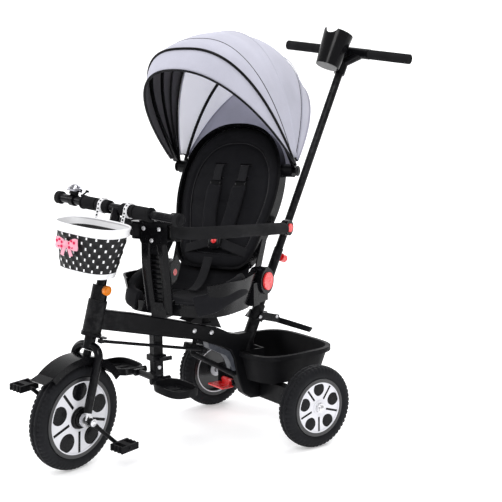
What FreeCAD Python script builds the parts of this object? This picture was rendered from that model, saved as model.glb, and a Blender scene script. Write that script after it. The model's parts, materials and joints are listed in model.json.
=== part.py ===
import FreeCAD, Part
import math
import os

from FreeCAD import Placement, Rotation, Vector

# A parent-push children's tricycle. Millimetres, +Z up, the front faces -Y, and the child's
# left is +X. It is modelled on its own centre plane x = 0 with the ground at z = 0, and
# moved at the end by ORIGIN_SHIFT, so that the origin is the middle of its footprint box.

# ---------------------------------------------------------------- driving dimensions
FRONT_WHEEL_R = 131.0
REAR_WHEEL_R = 105.0
TYRE_WIDTH = 45.0
FRONT_AXLE_Y = -277.0
REAR_AXLE_Y = 277.0
REAR_TRACK_HALF = 229.0
STEER_LEAN = 15.2          # the steering axis leans back
STEER_REST = 16.0          # the front end stands turned to the left at rest
ROD_LEAN = 24.7            # the push rod leans back
SEAT_REST = 24.0           # the seat stands swivelled to the left at rest
SWIVEL_Y = 90.0
BACK_LEAN = 24.7
CLEAR = 0.4                # gap between faces of neighbouring bodies
PIN_CLEAR = 0.05           # radial gap of a shaft in its bore

HUB = Vector(0, FRONT_AXLE_Y, FRONT_WHEEL_R)
HEAD_LOW = Vector(0, -223, 330)
HEAD_LENGTH = 78.0
HEAD_R = 23.0
STEERER_R = 14.0
BAR_Z_ALONG = 301.0        # handlebar height above the head tube's foot, along the axis
BAR_HALF = 205.0
TUBE_HALF_WIDTH = 15.0
TUBE_WALL = 2.0
BEAM = (265.0, 291.0, 78.0, 132.0)
BEAM_HALF = 184.0
AXLE_R = 5.0
ROD_FOOT = Vector(0, 218.6, 201)
ROD_R = 10.5
SLEEVE_R = 12.5
SOCKET_R = 16.0
HINGE_V = 66.0
HINGE_Z = 417.0
HUB_V = 186.0
HUB_Z = 686.0
LEG_X = 40.0
LEVER = 36.0               # radius of the steering lever and of the idler's arm
FOOT_HINGE_X = 58.0
PAD_HINGE_Y = 314.0
PAD_HINGE_Z = 288.0
BRAKE_Y = 256.0
BRAKE_Z = 98.0
TUB_CENTRE = Vector(0, 318, 0)
TUB_HALF_U = 140.0
TUB_HALF_V = 126.0
TUB_LOW = 140.0
TUB_HIGH = 218.0
TUB_RECESS_Y = 266.0        # how far back the hollow for the frame's web reaches
BAR_R = 11.0
SLEEVE_GRIP_R = 16.0
GRIP_RINGS = [(22, 62, 16.0), (66, 108, 16.0), (110, 114, 17.5), (192, 205, 16.0)]
BELL_X = -150.0
BASKET_U = 103.0
BASKET_V = 54.0
BASKET_DEPTH = 118.0
BASKET_RAKE = 16.0          # the bottom stands this much ahead of the rim
BASKET_TOP = Vector(0, -222, 594)
STRAP_X = (-44.0, 44.0)
STRAP_Y = -171.0
STRAP_LOW = 582.0
BOW_TURN = -20.0
CRANK_R = 96.0
CRANK_ANGLE = 45.0
RING_CENTRE = Vector(0, 66, 247)
SLEEVE_TOP = 300.0
T_ALONG = 867.0
CUP_LOW = 797.0
CUP_FORWARD = 62.0
CUP_HEIGHT = 96.0
PAN_CENTRE = Vector(0, -46, 0)
CHEEK_U = 136.0
POST_V = -166.0
BUTTON_STEM = 9.0
CAP_U = 170.0
CAP_V = 150.0
CAP_Z = 543.0
GUARD_Z = 568.0
GUARD_V = -188.0
GUARD_CORNER = 104.0        # where each padded arm turns back along the seat
GUARD_PIVOT_U = 56.0
CANOPY_REAR = [(-10, 172, 350, 2.25), (8, 172, 350, 2.3), (28, 172, 342, 2.4), (45, 172, 330, 2.4)]
CANOPY_FRONT = [(-48, 190, 388, 2.25), (-38, 184, 392, 2.7), (-22, 183, 376, 2.5), (-6, 182, 358, 2.27)]
ORIGIN_SHIFT = Vector(6.34, -119.25, 0)

X = Vector(1, 0, 0)
Y = Vector(0, 1, 0)
Z = Vector(0, 0, 1)


# ---------------------------------------------------------------- helpers
def save(name, shape):
    """Write one sub-part, moved so that the origin is the middle of the footprint."""
    solid = shape.copy()
    solid.translate(ORIGIN_SHIFT)
    solid.exportStep("parts/" + name + ".step")


def turned(shape, centre, axis, degrees):
    out = shape.copy()
    out.rotate(centre, axis, degrees)
    return out


def block(x0, x1, y0, y1, z0, z1):
    return Part.makeBox(x1 - x0, y1 - y0, z1 - z0, Vector(x0, y0, z0))


def rod(start, end, radius):
    """A round bar between two points."""
    run = end - start
    return Part.makeCylinder(radius, run.Length, start, run)


def pipe(start, end, outer, inner):
    return rod(start, end, outer).cut(rod(start, end, inner))


def soft(shape, radius, pick=None):
    """Round the edges of a simple block."""
    edges = [edge for edge in shape.Edges if pick is None or pick(edge)]
    return shape.makeFillet(radius, edges)


def wire_tube(points, radius, bend):
    """A round tube along straight runs, joined by tangent arcs of one bend radius."""
    edges = []
    start = points[0]
    for before, corner, after in zip(points, points[1:], points[2:]):
        back = (before - corner).normalize()
        ahead = (after - corner).normalize()
        half = (math.pi - back.getAngle(ahead)) / 2
        reach = bend * math.tan(half)
        first = corner + back * reach
        last = corner + ahead * reach
        centre_way = (back + ahead).normalize()
        middle = corner + centre_way * (bend / math.cos(half) - bend)
        edges.append(Part.makeLine(start, first))
        edges.append(Part.Arc(first, middle, last).toShape())
        start = last
    edges.append(Part.makeLine(start, points[-1]))
    path = Part.Wire(edges)
    way = points[1] - points[0]
    disc = Part.Wire(Part.makeCircle(radius, points[0], way))
    return path.makePipeShell([disc], True, True)


def prism(outline, direction):
    """Extrude a closed outline of points."""
    return Part.Face(Part.makePolygon(outline + [outline[0]])).extrude(direction)


def side_plate(points, x0, x1):
    """A plate seen from the side: (y, z) points, between two x planes."""
    return prism([Vector(x0, y, z) for y, z in points], Vector(x1 - x0, 0, 0))


def smooth_face(points, normal_shift):
    """A face inside a closed smooth curve through the points."""
    curve = Part.BSplineCurve()
    curve.interpolate(points, PeriodicFlag=True)
    return Part.Face(Part.Wire(curve.toShape())).extrude(normal_shift)


def superoval(half_u, half_v, power, count=24):
    """Points of a rounded rectangle between an ellipse and a box."""
    points = []
    for step in range(count):
        angle = 2 * math.pi * step / count
        c = math.cos(angle)
        s = math.sin(angle)
        points.append((math.copysign(abs(c) ** (2 / power), c) * half_u,
                       math.copysign(abs(s) ** (2 / power), s) * half_v))
    return points


def oval_wire(half_u, half_v, power, centre, z):
    points = [centre + Vector(u, v, z) for u, v in superoval(half_u, half_v, power)]
    curve = Part.BSplineCurve()
    curve.interpolate(points, PeriodicFlag=True)
    return Part.Wire(curve.toShape())


def ring(outer, inner, half_width, centre, axis):
    return rod(centre - axis * half_width, centre + axis * half_width, outer).cut(
        rod(centre - axis * (half_width + 1), centre + axis * (half_width + 1), inner))


def steer_point(along, forward=0.0, across=0.0):
    """A point on the straight-ahead front end: along the steering axis, ahead of it, beside it."""
    up = Vector(0, math.sin(math.radians(STEER_LEAN)), math.cos(math.radians(STEER_LEAN)))
    ahead = Vector(0, -math.cos(math.radians(STEER_LEAN)), math.sin(math.radians(STEER_LEAN)))
    return HEAD_LOW + up * along + ahead * forward + X * across


STEER_AXIS = steer_point(1) - steer_point(0)
LEVER_ARM = Rotation(STEER_AXIS, STEER_REST).multVec(X) * LEVER
STEER_PIN = steer_point(-15.5) + LEVER_ARM
RING_PIN = RING_CENTRE + LEVER_ARM


def steered(shape):
    return turned(shape, HEAD_LOW, STEER_AXIS, STEER_REST)


def rod_point(along, forward=0.0, across=0.0):
    """A point on the push rod: along it from its foot, ahead of it, beside it."""
    lean = math.radians(ROD_LEAN)
    up = Vector(0, math.sin(lean), math.cos(lean))
    ahead = Vector(0, -math.cos(lean), math.sin(lean))
    return ROD_FOOT + up * along + ahead * forward + X * across


ROD_AXIS = rod_point(1) - rod_point(0)


def pushed(shape):
    return turned(shape, ROD_FOOT, ROD_AXIS, STEER_REST)


def seated(shape):
    """Swivel a part of the seat, drawn with u along +X and v along +Y, to its rest."""
    out = shape.copy()
    out.translate(Vector(0, SWIVEL_Y, 0))
    return turned(out, Vector(0, SWIVEL_Y, 0), Z, SEAT_REST)


def back_point(along, behind=0.0, across=0.0):
    """A point of the seat back: up from the recline hinge, behind its plane, beside it."""
    lean = math.radians(BACK_LEAN)
    up = Vector(0, math.sin(lean), math.cos(lean))
    rear = Vector(0, math.cos(lean), -math.sin(lean))
    return Vector(across, HINGE_V, HINGE_Z) + up * along + rear * behind


BACK_REAR = back_point(0, 1) - back_point(0)


# ---------------------------------------------------------------- wheels
def tyre(centre, radius):
    """A rubber tyre with a rounded tread and shoulder blocks on both sides."""
    half = TYRE_WIDTH / 2
    inner = radius - 31
    section = [
        Vector(-half + 4, 0, inner),
        Vector(-half, 0, inner + 9),
        Vector(-half + 2.5, 0, radius - 9),
        Vector(-half + 10, 0, radius - 1.6),
        Vector(0, 0, radius),
        Vector(half - 10, 0, radius - 1.6),
        Vector(half - 2.5, 0, radius - 9),
        Vector(half, 0, inner + 9),
        Vector(half - 4, 0, inner),
    ]
    face = Part.Face(Part.makePolygon(section + [section[0]]))
    solid = face.revolve(Vector(0, 0, 0), X, 360)
    solid.translate(centre)
    return solid


def rim(centre, radius, outward, bore):
    """A wheel disc with five round holes and five slots, dished in from the outer face."""
    outer = radius - 31.3
    lip = outer - 9
    half = TYRE_WIDTH / 2 - 2
    body = ring(outer, lip - 3, half, centre, X)
    disc = rod(centre - outward * 4, centre + outward * (half - 3), lip)
    disc = disc.fuse(rod(centre - outward * half, centre + outward * half, outer * 0.24))
    for step in range(5):
        hole_way = math.radians(90 + 72 * step)
        middle = centre + Vector(0, math.cos(hole_way), math.sin(hole_way)) * (lip * 0.68)
        disc = disc.cut(rod(middle - outward * 1.5, middle + outward * 40, outer * 0.19))
        slot_way = math.radians(126 + 72 * step)
        along = Vector(0, math.cos(slot_way), math.sin(slot_way))
        across = along.cross(X)
        foot = centre + along * (lip * 0.46)
        tip = centre + along * (lip * 0.95)
        near = centre + outward * (half - 7)
        depth = outward * 12
        corners = [foot - across * 2.2, tip - across * 2.2, tip + across * 2.2, foot + across * 2.2]
        disc = disc.cut(prism([p + (near - centre) for p in corners], depth))
    solid = body.fuse(disc).removeSplitter()
    return solid.cut(rod(centre - X * 60, centre + X * 60, bore))


def wheels():
    save("front_tyre", steered(tyre(HUB, FRONT_WHEEL_R)))
    save("front_rim", steered(rim(HUB, FRONT_WHEEL_R, X, AXLE_R + PIN_CLEAR)))
    for name, side in (("left", 1), ("right", -1)):
        centre = Vector(side * REAR_TRACK_HALF, REAR_AXLE_Y, REAR_WHEEL_R)
        save("rear_tyre_" + name, tyre(centre, REAR_WHEEL_R))
        save("rear_rim_" + name, rim(centre, REAR_WHEEL_R, X * side, AXLE_R + PIN_CLEAR))


# ---------------------------------------------------------------- frame
def frame():
    head = pipe(steer_point(0), steer_point(HEAD_LENGTH), HEAD_R, STEERER_R + PIN_CLEAR)
    save("head_tube", head)

    outline = [
        (-208, 385), (-101, 358), (-15, 334), (88, 303), (125, 293), (152, 280), (172, 269),
        (200, 262), (236, 262), (248, 232), (252, 190), (265, 132), (265, 80), (236, 82),
        (212, 100), (199, 131), (190, 160), (182, 200), (172, 222), (145, 236), (118, 247),
        (72, 266), (15, 279), (-70, 300), (-216, 337),
    ]
    body = side_plate(outline, -TUBE_HALF_WIDTH, TUBE_HALF_WIDTH)
    long_edges = [e for e in body.Edges if abs(e.Length - 2 * TUBE_HALF_WIDTH) > 0.01]
    body = body.makeFillet(4, long_edges)
    head_space = rod(steer_point(-30), steer_point(HEAD_LENGTH + 30), HEAD_R)
    socket_space = rod(rod_point(0), rod_point(200), SOCKET_R)
    hollow = Part.Face(Part.makePolygon([Vector(0, y, z) for y, z in outline + outline[:1]]))
    hollow = hollow.makeOffset2D(-TUBE_WALL, 2)
    hollow.translate(Vector(TUBE_WALL - TUBE_HALF_WIDTH, 0, 0))
    hollow = hollow.extrude(Vector(2 * (TUBE_HALF_WIDTH - TUBE_WALL), 0, 0))
    thick_head = rod(steer_point(-30), steer_point(HEAD_LENGTH + 30), HEAD_R + TUBE_WALL)
    thick_socket = rod(rod_point(-5), rod_point(200), SOCKET_R + TUBE_WALL)
    hollow = hollow.cut(thick_head).cut(thick_socket)
    body = body.cut(head_space).cut(socket_space).cut(hollow)
    save("main_tube", Part.makeCompound([body, steering_strut()]))

    y0, y1, z0, z1 = BEAM
    beam = block(-BEAM_HALF, BEAM_HALF, y0, y1, z0, z1)
    beam = soft(beam, 4, lambda e: abs(e.Length - 2 * BEAM_HALF) < 0.01)
    axle_space = rod(Vector(-260, REAR_AXLE_Y, REAR_WHEEL_R), Vector(260, REAR_AXLE_Y, REAR_WHEEL_R), AXLE_R)
    beam = beam.cut(block(-BEAM_HALF + 2, BEAM_HALF - 2, y0 + TUBE_WALL, y1 - TUBE_WALL,
                          z0 + TUBE_WALL, z1 - TUBE_WALL))
    beam = beam.cut(axle_space)
    brake_pin = rod(Vector(-152, BRAKE_Y, BRAKE_Z), Vector(-92, BRAKE_Y, BRAKE_Z), 3)
    for x in (-152, -96):
        brake_pin = brake_pin.fuse(block(x, x + 4, BRAKE_Y - 6, y0, BRAKE_Z - 6, BRAKE_Z + 6))
    beam = beam.fuse(brake_pin)
    save("rear_beam", beam)

    axle = rod(Vector(-251, REAR_AXLE_Y, REAR_WHEEL_R), Vector(251, REAR_AXLE_Y, REAR_WHEEL_R), AXLE_R)
    for side in (-1, 1):
        end = Vector(side * (REAR_TRACK_HALF + TYRE_WIDTH / 2 - 1.6), REAR_AXLE_Y, REAR_WHEEL_R)
        axle = axle.fuse(rod(end, end + X * side * 6, 12))
    save("rear_axle", axle)

    socket = rod(rod_point(0), rod_point(142), SOCKET_R)
    bore = rod(rod_point(20), rod_point(143), SLEEVE_R + PIN_CLEAR)
    save("rod_socket", socket.cut(bore))


def seat_bracket():
    """The swivel post and its splayed legs, welded on the main tube."""
    outline = [(40, 319), (136, 290.5), (118, 330), (104, 338), (76, 338), (60, 330)]
    legs = side_plate(outline, -26, 26)
    legs = legs.cut(block(-TUBE_HALF_WIDTH, TUBE_HALF_WIDTH, 0, 200, 200, 317))
    tube = side_plate([(20, 324), (160, 281.5), (160, 200), (20, 200)],
                      -TUBE_HALF_WIDTH, TUBE_HALF_WIDTH)
    legs = legs.cut(tube)
    legs = legs.cut(block(-30, 30, SWIVEL_Y - 14, SWIVEL_Y + 14, 309, 328))
    post = rod(Vector(0, SWIVEL_Y, 336), Vector(0, SWIVEL_Y, 346), 22)
    return legs.fuse(post).removeSplitter()


def tub_loft(scale_low, scale_top, z_low, z_top):
    wires = [oval_wire(TUB_HALF_U * scale_low, TUB_HALF_V * scale_low, 4.0, TUB_CENTRE, z_low),
             oval_wire(TUB_HALF_U * scale_top, TUB_HALF_V * scale_top, 4.0, TUB_CENTRE, z_top)]
    return Part.makeLoft(wires, True)


def basin():
    """The open storage tub: a thick rim, and a recess in front for the frame's web."""
    outer = tub_loft(0.80, 0.96, TUB_LOW, TUB_HIGH)
    rim_band = tub_loft(1.0, 1.0, TUB_HIGH - 12, TUB_HIGH)
    recess = block(-28, 28, 150, TUB_RECESS_Y + 4, TUB_LOW, TUB_HIGH).common(outer)
    shell = outer.fuse(rim_band).cut(tub_loft(0.76, 0.92, TUB_LOW + 4, TUB_HIGH + 2)).fuse(recess)
    shell = shell.cut(block(-24, 24, 150, TUB_RECESS_Y, TUB_LOW - 10, TUB_HIGH + 10))
    for x in (-80, 80):
        shell = shell.fuse(rod(Vector(x, 278, BEAM[3]), Vector(x, 278, TUB_LOW + 2), 9))
    return shell


def frame_details():
    save("seat_bracket", seat_bracket())
    save("storage_basin", basin())

    cover = side_plate([(104, 252), (124, 244), (148, 232), (170, 221), (180, 200), (188, 166),
                        (180, 166), (168, 196), (156, 212), (128, 226), (106, 238)], -13, 13)
    inside = side_plate([(118, 247), (145, 236), (172, 222), (182, 200), (190, 160), (260, 160),
                         (260, 260), (118, 260)], -20, 20)
    save("gusset_cover", cover.cut(inside))

    post = block(-13, 13, -58, -32, 186, 310)
    post = soft(post, 3, lambda e: abs(e.Length - 124) < 0.01)
    post = post.cut(side_plate([(-70, 300), (15, 279), (15, 330), (-70, 330)], -20, 20))
    clamp = soft(block(-19, 19, -64, -26, 230, 246), 3)
    lever = rod(Vector(17, -45, 238), Vector(30, -45, 238), 5).fuse(block(25, 31, -52, -18, 233, 243))
    bar = rod(Vector(-46, -70, 194), Vector(46, -70, 194), 8)
    yoke = block(-11, 11, -72, -45, 187, 201)
    for side in (-1, 1):
        x = side * 44
        bar = bar.fuse(block(x - 5, x + 5, -84, -56, 187, 203))
        pin = rod(Vector(side * FOOT_HINGE_X, -98, 196), Vector(side * FOOT_HINGE_X, -42, 196), 4)
        bar = bar.fuse(pin).fuse(block(min(x, side * FOOT_HINGE_X), max(x, side * FOOT_HINGE_X),
                                       -75, -65, 190, 200))
    save("footrest_post", post.fuse(clamp).fuse(lever).fuse(bar).fuse(yoke))

    clamp = pipe(rod_point(98), rod_point(120), 22, SOCKET_R)
    arms = clamp
    for side in (-1, 1):
        arm = side_plate([(248, 296), (268, 314), (320, 300), (324, 284), (312, 280), (270, 292)],
                         side * 26 - 3, side * 26 + 3)
        lug = block(min(side * 14, side * 29), max(side * 14, side * 29), 258, 272, 292, 306)
        arms = arms.fuse(arm).fuse(lug)
    arms = arms.fuse(rod(Vector(-27, PAD_HINGE_Y, PAD_HINGE_Z), Vector(27, PAD_HINGE_Y, PAD_HINGE_Z), 4))
    arms = arms.cut(rod(rod_point(0), rod_point(200), SOCKET_R))
    save("rear_pad_bracket", arms)


def steering_strut():
    """The stud that the idler ring turns on, and the brace from it to the down tube."""
    stud = rod(RING_CENTRE - STEER_AXIS * 18, RING_CENTRE + STEER_AXIS * 30, 6)
    stud = stud.cut(side_plate([(15, 279), (72, 266), (118, 247), (118, 330), (15, 330)], -15, 15))
    brace = rod(RING_CENTRE - STEER_AXIS * 17, Vector(0, 192, 152), 7)
    return stud.fuse(brace).cut(down_tube_space())


def down_tube_space():
    return side_plate([(145, 236), (172, 222), (182, 200), (190, 160), (199, 131), (199, 100),
                       (280, 100), (280, 260), (145, 260)], -TUBE_HALF_WIDTH, TUBE_HALF_WIDTH)


def footrests():
    """Two tray-shaped foot pads that fold up about pins along the trike."""
    for name, side in (("left", 1), ("right", -1)):
        centre = Vector(side * (FOOT_HINGE_X + 72), -72, 0)
        outer = Part.makeLoft([oval_wire(60, 38, 3.2, centre, 182), oval_wire(62, 40, 3.2, centre, 200)], True)
        inner = Part.makeLoft([oval_wire(55, 33, 3.2, centre, 187), oval_wire(57, 35, 3.2, centre, 201)], True)
        pad = outer.cut(inner)
        for step in (-1, 0, 1):
            slot = centre.x + step * 30
            pad = pad.cut(block(slot - 6, slot + 6, -92, -52, 180, 190))
        knuckle = Vector(side * FOOT_HINGE_X, 0, 196)
        hinge = rod(knuckle + Y * -97, knuckle + Y * -77, 8).fuse(rod(knuckle + Y * -63, knuckle + Y * -43, 8))
        for y0 in (-95, -61):
            hinge = hinge.fuse(block(min(side * FOOT_HINGE_X, side * (FOOT_HINGE_X + 16)),
                                     max(side * FOOT_HINGE_X, side * (FOOT_HINGE_X + 16)),
                                     y0, y0 + 16, 189, 200))
        hinge = hinge.cut(inner)
        hinge = hinge.cut(rod(knuckle + Y * -100, knuckle + Y * -40, 4 + PIN_CLEAR))
        pad = pad.cut(rod(knuckle + Y * -100, knuckle + Y * -40, 8 + CLEAR))
        save("footrest_" + name, pad.fuse(hinge))


def rear_pad():
    slope = 22
    centre = Vector(0, PAD_HINGE_Y + 66, PAD_HINGE_Z - 7)
    pad = Part.makeLoft([oval_wire(56, 52, 3.4, centre, 0), oval_wire(60, 56, 3.4, centre, 14)], True)
    pad = pad.cut(Part.makeLoft([oval_wire(50, 46, 3.4, centre, -1), oval_wire(52, 48, 3.4, centre, 9)], True))
    neck = block(-20, 20, PAD_HINGE_Y, PAD_HINGE_Y + 18, PAD_HINGE_Z - 6, PAD_HINGE_Z + 6)
    axis_low = Vector(-20, PAD_HINGE_Y, PAD_HINGE_Z)
    neck = neck.fuse(rod(axis_low, Vector(20, PAD_HINGE_Y, PAD_HINGE_Z), 8))
    pad = pad.fuse(neck).cut(rod(axis_low - X * 50, axis_low + X * 90, 4 + PIN_CLEAR))
    save("rear_pad", turned(pad, Vector(0, PAD_HINGE_Y, PAD_HINGE_Z), X, -slope))


def brake():
    pin_low = Vector(-152, BRAKE_Y, BRAKE_Z)
    hub = rod(pin_low + X * 8, pin_low + X * 52, 7)
    plate = block(-160, -92, 214, BRAKE_Y - 2, 84, 89)
    plate = soft(plate, 2)
    pedal = hub.fuse(plate).fuse(block(-140, -105, BRAKE_Y - 8, BRAKE_Y, 84, 100))
    save("brake_pedal", pedal.cut(rod(pin_low - X * 20, pin_low + X * 90, 3 + PIN_CLEAR)))


# ---------------------------------------------------------------- front end
def around_hub(degrees, radius):
    """A point round the front hub, so many degrees ahead of straight up."""
    way = math.radians(degrees)
    return HUB + Vector(0, -math.sin(way), math.cos(way)) * radius


def front_end():
    steerer = rod(steer_point(-3), steer_point(110), STEERER_R)
    crown = rod(steer_point(-10), steer_point(-CLEAR), 25)
    lever = prism([steer_point(-9, 16, 0), steer_point(-9, 16, 30), steer_point(-9, 9, 45),
                   steer_point(-9, -9, 45), steer_point(-9, -16, 30), steer_point(-9, -16, 0)],
                  STEER_AXIS * 5)
    pin = rod(steer_point(-21, 0, LEVER), steer_point(-8, 0, LEVER), 4)
    neck = rod(steer_point(-40), steer_point(-8), 14)
    legs = neck.fuse(steerer).fuse(crown).fuse(lever).fuse(pin)
    for side in (-1, 1):
        leg = wire_tube([steer_point(-34), steer_point(-34, 0, side * LEG_X),
                         steer_point(-188, 0, side * LEG_X)], 10.5, 26)
        legs = legs.fuse(leg)
    collar = rod(steer_point(HEAD_LENGTH + CLEAR), steer_point(114), 20)
    save("fork", steered(legs.fuse(collar)))

    brackets = None
    for side in (-1, 1):
        disc = rod(HUB + X * side * (LEG_X - 5), HUB + X * side * (LEG_X + 5), 17)
        stem = rod(HUB + X * side * LEG_X, steer_point(-188, 0, side * LEG_X), 9)
        piece = disc.fuse(stem)
        piece = piece.cut(rod(HUB + X * side * 20, HUB + X * side * 80, AXLE_R + PIN_CLEAR))
        brackets = piece if brackets is None else brackets.fuse(piece)
    save("hub_brackets", steered(brackets))

    guard = ring(150, 147, 27, HUB, X)
    skirt = ring(150, 132, 27, HUB, X).cut(ring(150, 131, 25, HUB, X))
    guard = guard.fuse(skirt)
    wedge = [HUB] + [around_hub(degrees, 260) for degrees in range(-58, 39, 12)]
    shell = guard.common(prism([p - X * 40 for p in wedge], Vector(80, 0, 0)))
    lip = [around_hub(36, 147), around_hub(46, 159), around_hub(46, 162), around_hub(36, 150)]
    shell = shell.fuse(prism([p - X * 25 for p in lip], Vector(50, 0, 0)))
    shell = shell.fuse(rod(steer_point(-60), steer_point(-45), 10))
    save("mudguard", steered(shell.cut(rod(steer_point(-44.5), steer_point(-30), 30))))

    stem = rod(steer_point(114), steer_point(BAR_Z_ALONG), 12)
    bar = rod(steer_point(BAR_Z_ALONG, 0, -BAR_HALF), steer_point(BAR_Z_ALONG, 0, BAR_HALF), BAR_R)
    save("handlebar", steered(stem.fuse(bar)))

    grips = None
    for a, b, r in GRIP_RINGS:
        for side in (-1, 1):
            start = steer_point(BAR_Z_ALONG, 0, side * a)
            end = steer_point(BAR_Z_ALONG, 0, side * b)
            piece = pipe(start, end, r, BAR_R)
            grips = piece if grips is None else grips.fuse(piece)
    save("grips", steered(grips))

    lamp = rod(steer_point(104, 0, 18), steer_point(104, 0, 26), 12).cut(collar)
    holder = lamp.fuse(rod(steer_point(104, 0, 26), steer_point(104, 0, 28), 10))
    save("reflector", steered(holder))
    bell()
    basket()


def bell():
    """A thumb bell: clamp and base on the bar, metal dome on top, a lever beside it."""
    bar_z = BAR_Z_ALONG
    clamp = pipe(steer_point(bar_z, 0, BELL_X - 7), steer_point(bar_z, 0, BELL_X + 7), BAR_R + 4, BAR_R)
    base = rod(steer_point(bar_z + BAR_R + 2, 4, BELL_X), steer_point(bar_z + 23, 4, BELL_X), 12)
    stalk = rod(steer_point(bar_z + 21, 4, BELL_X), steer_point(bar_z + 33, 4, BELL_X), 2.5)
    save("bell_base", steered(clamp.fuse(base).fuse(stalk).cut(
        rod(steer_point(bar_z, 0, -BAR_HALF), steer_point(bar_z, 0, BAR_HALF), BAR_R))))
    profile = [Vector(2.5, 0, 14), Vector(7, 0, 13), Vector(12, 0, 9), Vector(14, 0, 3), Vector(14, 0, 0),
               Vector(12.5, 0, 0), Vector(12.3, 0, 3), Vector(10.8, 0, 7.8), Vector(6.4, 0, 11.5),
               Vector(2.5, 0, 12.4)]
    dome = Part.Face(Part.makePolygon(profile + [profile[0]])).revolve(Vector(0, 0, 0), Z, 360)
    dome.Placement = Placement(steer_point(bar_z + 24, 4, BELL_X), Rotation(Z, STEER_AXIS))
    save("bell_dome", steered(dome))
    foot = steer_point(bar_z + 15, -9, BELL_X + 17)
    tip = steer_point(bar_z + 27, -12, BELL_X + 28)
    lever = rod(foot - STEER_AXIS * 2.5, foot + STEER_AXIS * 2.5, 4).fuse(rod(foot, tip, 2.2))
    lever = lever.fuse(rod(tip - STEER_AXIS * 3, tip + STEER_AXIS * 3, 4.5))
    save("bell_lever", steered(lever))


def basket_wire(scale, z):
    points = []
    for u, v in superoval(BASKET_U * scale, BASKET_V * scale, 2.8):
        points.append(BASKET_TOP + Vector(u, v + BASKET_RAKE * z / BASKET_DEPTH, z))
    curve = Part.BSplineCurve()
    curve.interpolate(points, PeriodicFlag=True)
    return Part.Wire(curve.toShape())


def basket():
    """A tapering oval basket with a deep rim, hung from the bar by two straps."""
    low, high = -BASKET_DEPTH, -18
    outer = Part.makeLoft([basket_wire(0.74, low), basket_wire(0.965, high)], True)
    inner = Part.makeLoft([basket_wire(0.70, low + 4), basket_wire(0.935, high + 0.1)], True)
    save("basket_body", steered(outer.cut(inner)))
    rim_outer = Part.makeLoft([basket_wire(0.97, high), basket_wire(1.0, 0)], True)
    rim_inner = Part.makeLoft([basket_wire(0.925, high - 1), basket_wire(0.955, 1)], True)
    save("basket_rim", steered(rim_outer.cut(rim_inner)))
    straps = None
    for side in STRAP_X:
        loop = pipe(steer_point(BAR_Z_ALONG, 0, side - 5), steer_point(BAR_Z_ALONG, 0, side + 5),
                    SLEEVE_GRIP_R + 2.4, SLEEVE_GRIP_R)
        top = steer_point(BAR_Z_ALONG, SLEEVE_GRIP_R + 1.2, side - 5)
        low = Vector(side - 5, STRAP_Y, STRAP_LOW)
        tail = prism([top, low, low - Y * 2.4, top + STEER_AXIS * 2.4], X * 10)
        straps = loop.fuse(tail) if straps is None else straps.fuse(loop).fuse(tail)
    straps = straps.cut(rim_outer)
    save("basket_straps", steered(straps))
    knot = BASKET_TOP + Vector(0, -BASKET_V - 9, -40)
    bow = rod(knot, knot + Y * 6, 7)
    for side in (-1, 1):
        loop = prism([knot, knot + Vector(side * 26, 0, 13), knot + Vector(side * 26, 0, -13)], Y * 6)
        tail = prism([knot, knot + Vector(side * 4, 0, -26), knot + Vector(side * 18, 0, -22)], Y * 6)
        bow = bow.fuse(loop).fuse(tail)
    bow = turned(bow, BASKET_TOP, Z, BOW_TURN).cut(outer)
    save("basket_bow", steered(bow))


# ---------------------------------------------------------------- pedals and linkage
def crank_point(side, radius, across):
    way = math.radians(CRANK_ANGLE) + (0 if side > 0 else math.pi)
    return HUB + Vector(side * across, math.sin(way) * radius, -math.cos(way) * radius)


def pedals():
    shaft = rod(HUB - X * 64, HUB + X * 64, AXLE_R)
    for side in (-1, 1):
        arm = rod(crank_point(side, 0, 60), crank_point(side, 26, 60), 6)
        arm = arm.fuse(rod(crank_point(side, 22, 60), crank_point(side, CRANK_R, 74), 5))
        arm = arm.fuse(rod(crank_point(side, CRANK_R, 70), crank_point(side, CRANK_R, 124), 4))
        shaft = shaft.fuse(arm)
        shaft = shaft.fuse(rod(HUB + X * side * 54, HUB + X * side * 66, 9))
    save("crank", steered(shaft))
    for name, side in (("left", 1), ("right", -1)):
        centre = crank_point(side, CRANK_R, 102)
        body = block(-20, 20, -28, 28, -8, 8)
        for way in (-1, 1):
            body = body.cut(block(-14, 14, way * 15 - 7, way * 15 + 7, -9, 9))
            for tooth in (-14, -2, 10):
                body = body.cut(block(tooth, tooth + 6, way * 27.5 - 2, way * 27.5 + 2, -9, 9))
        body = body.cut(rod(Vector(-30, 0, 0), Vector(30, 0, 0), 4 + PIN_CLEAR))
        body.translate(centre)
        save("pedal_" + name, steered(body))


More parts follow.
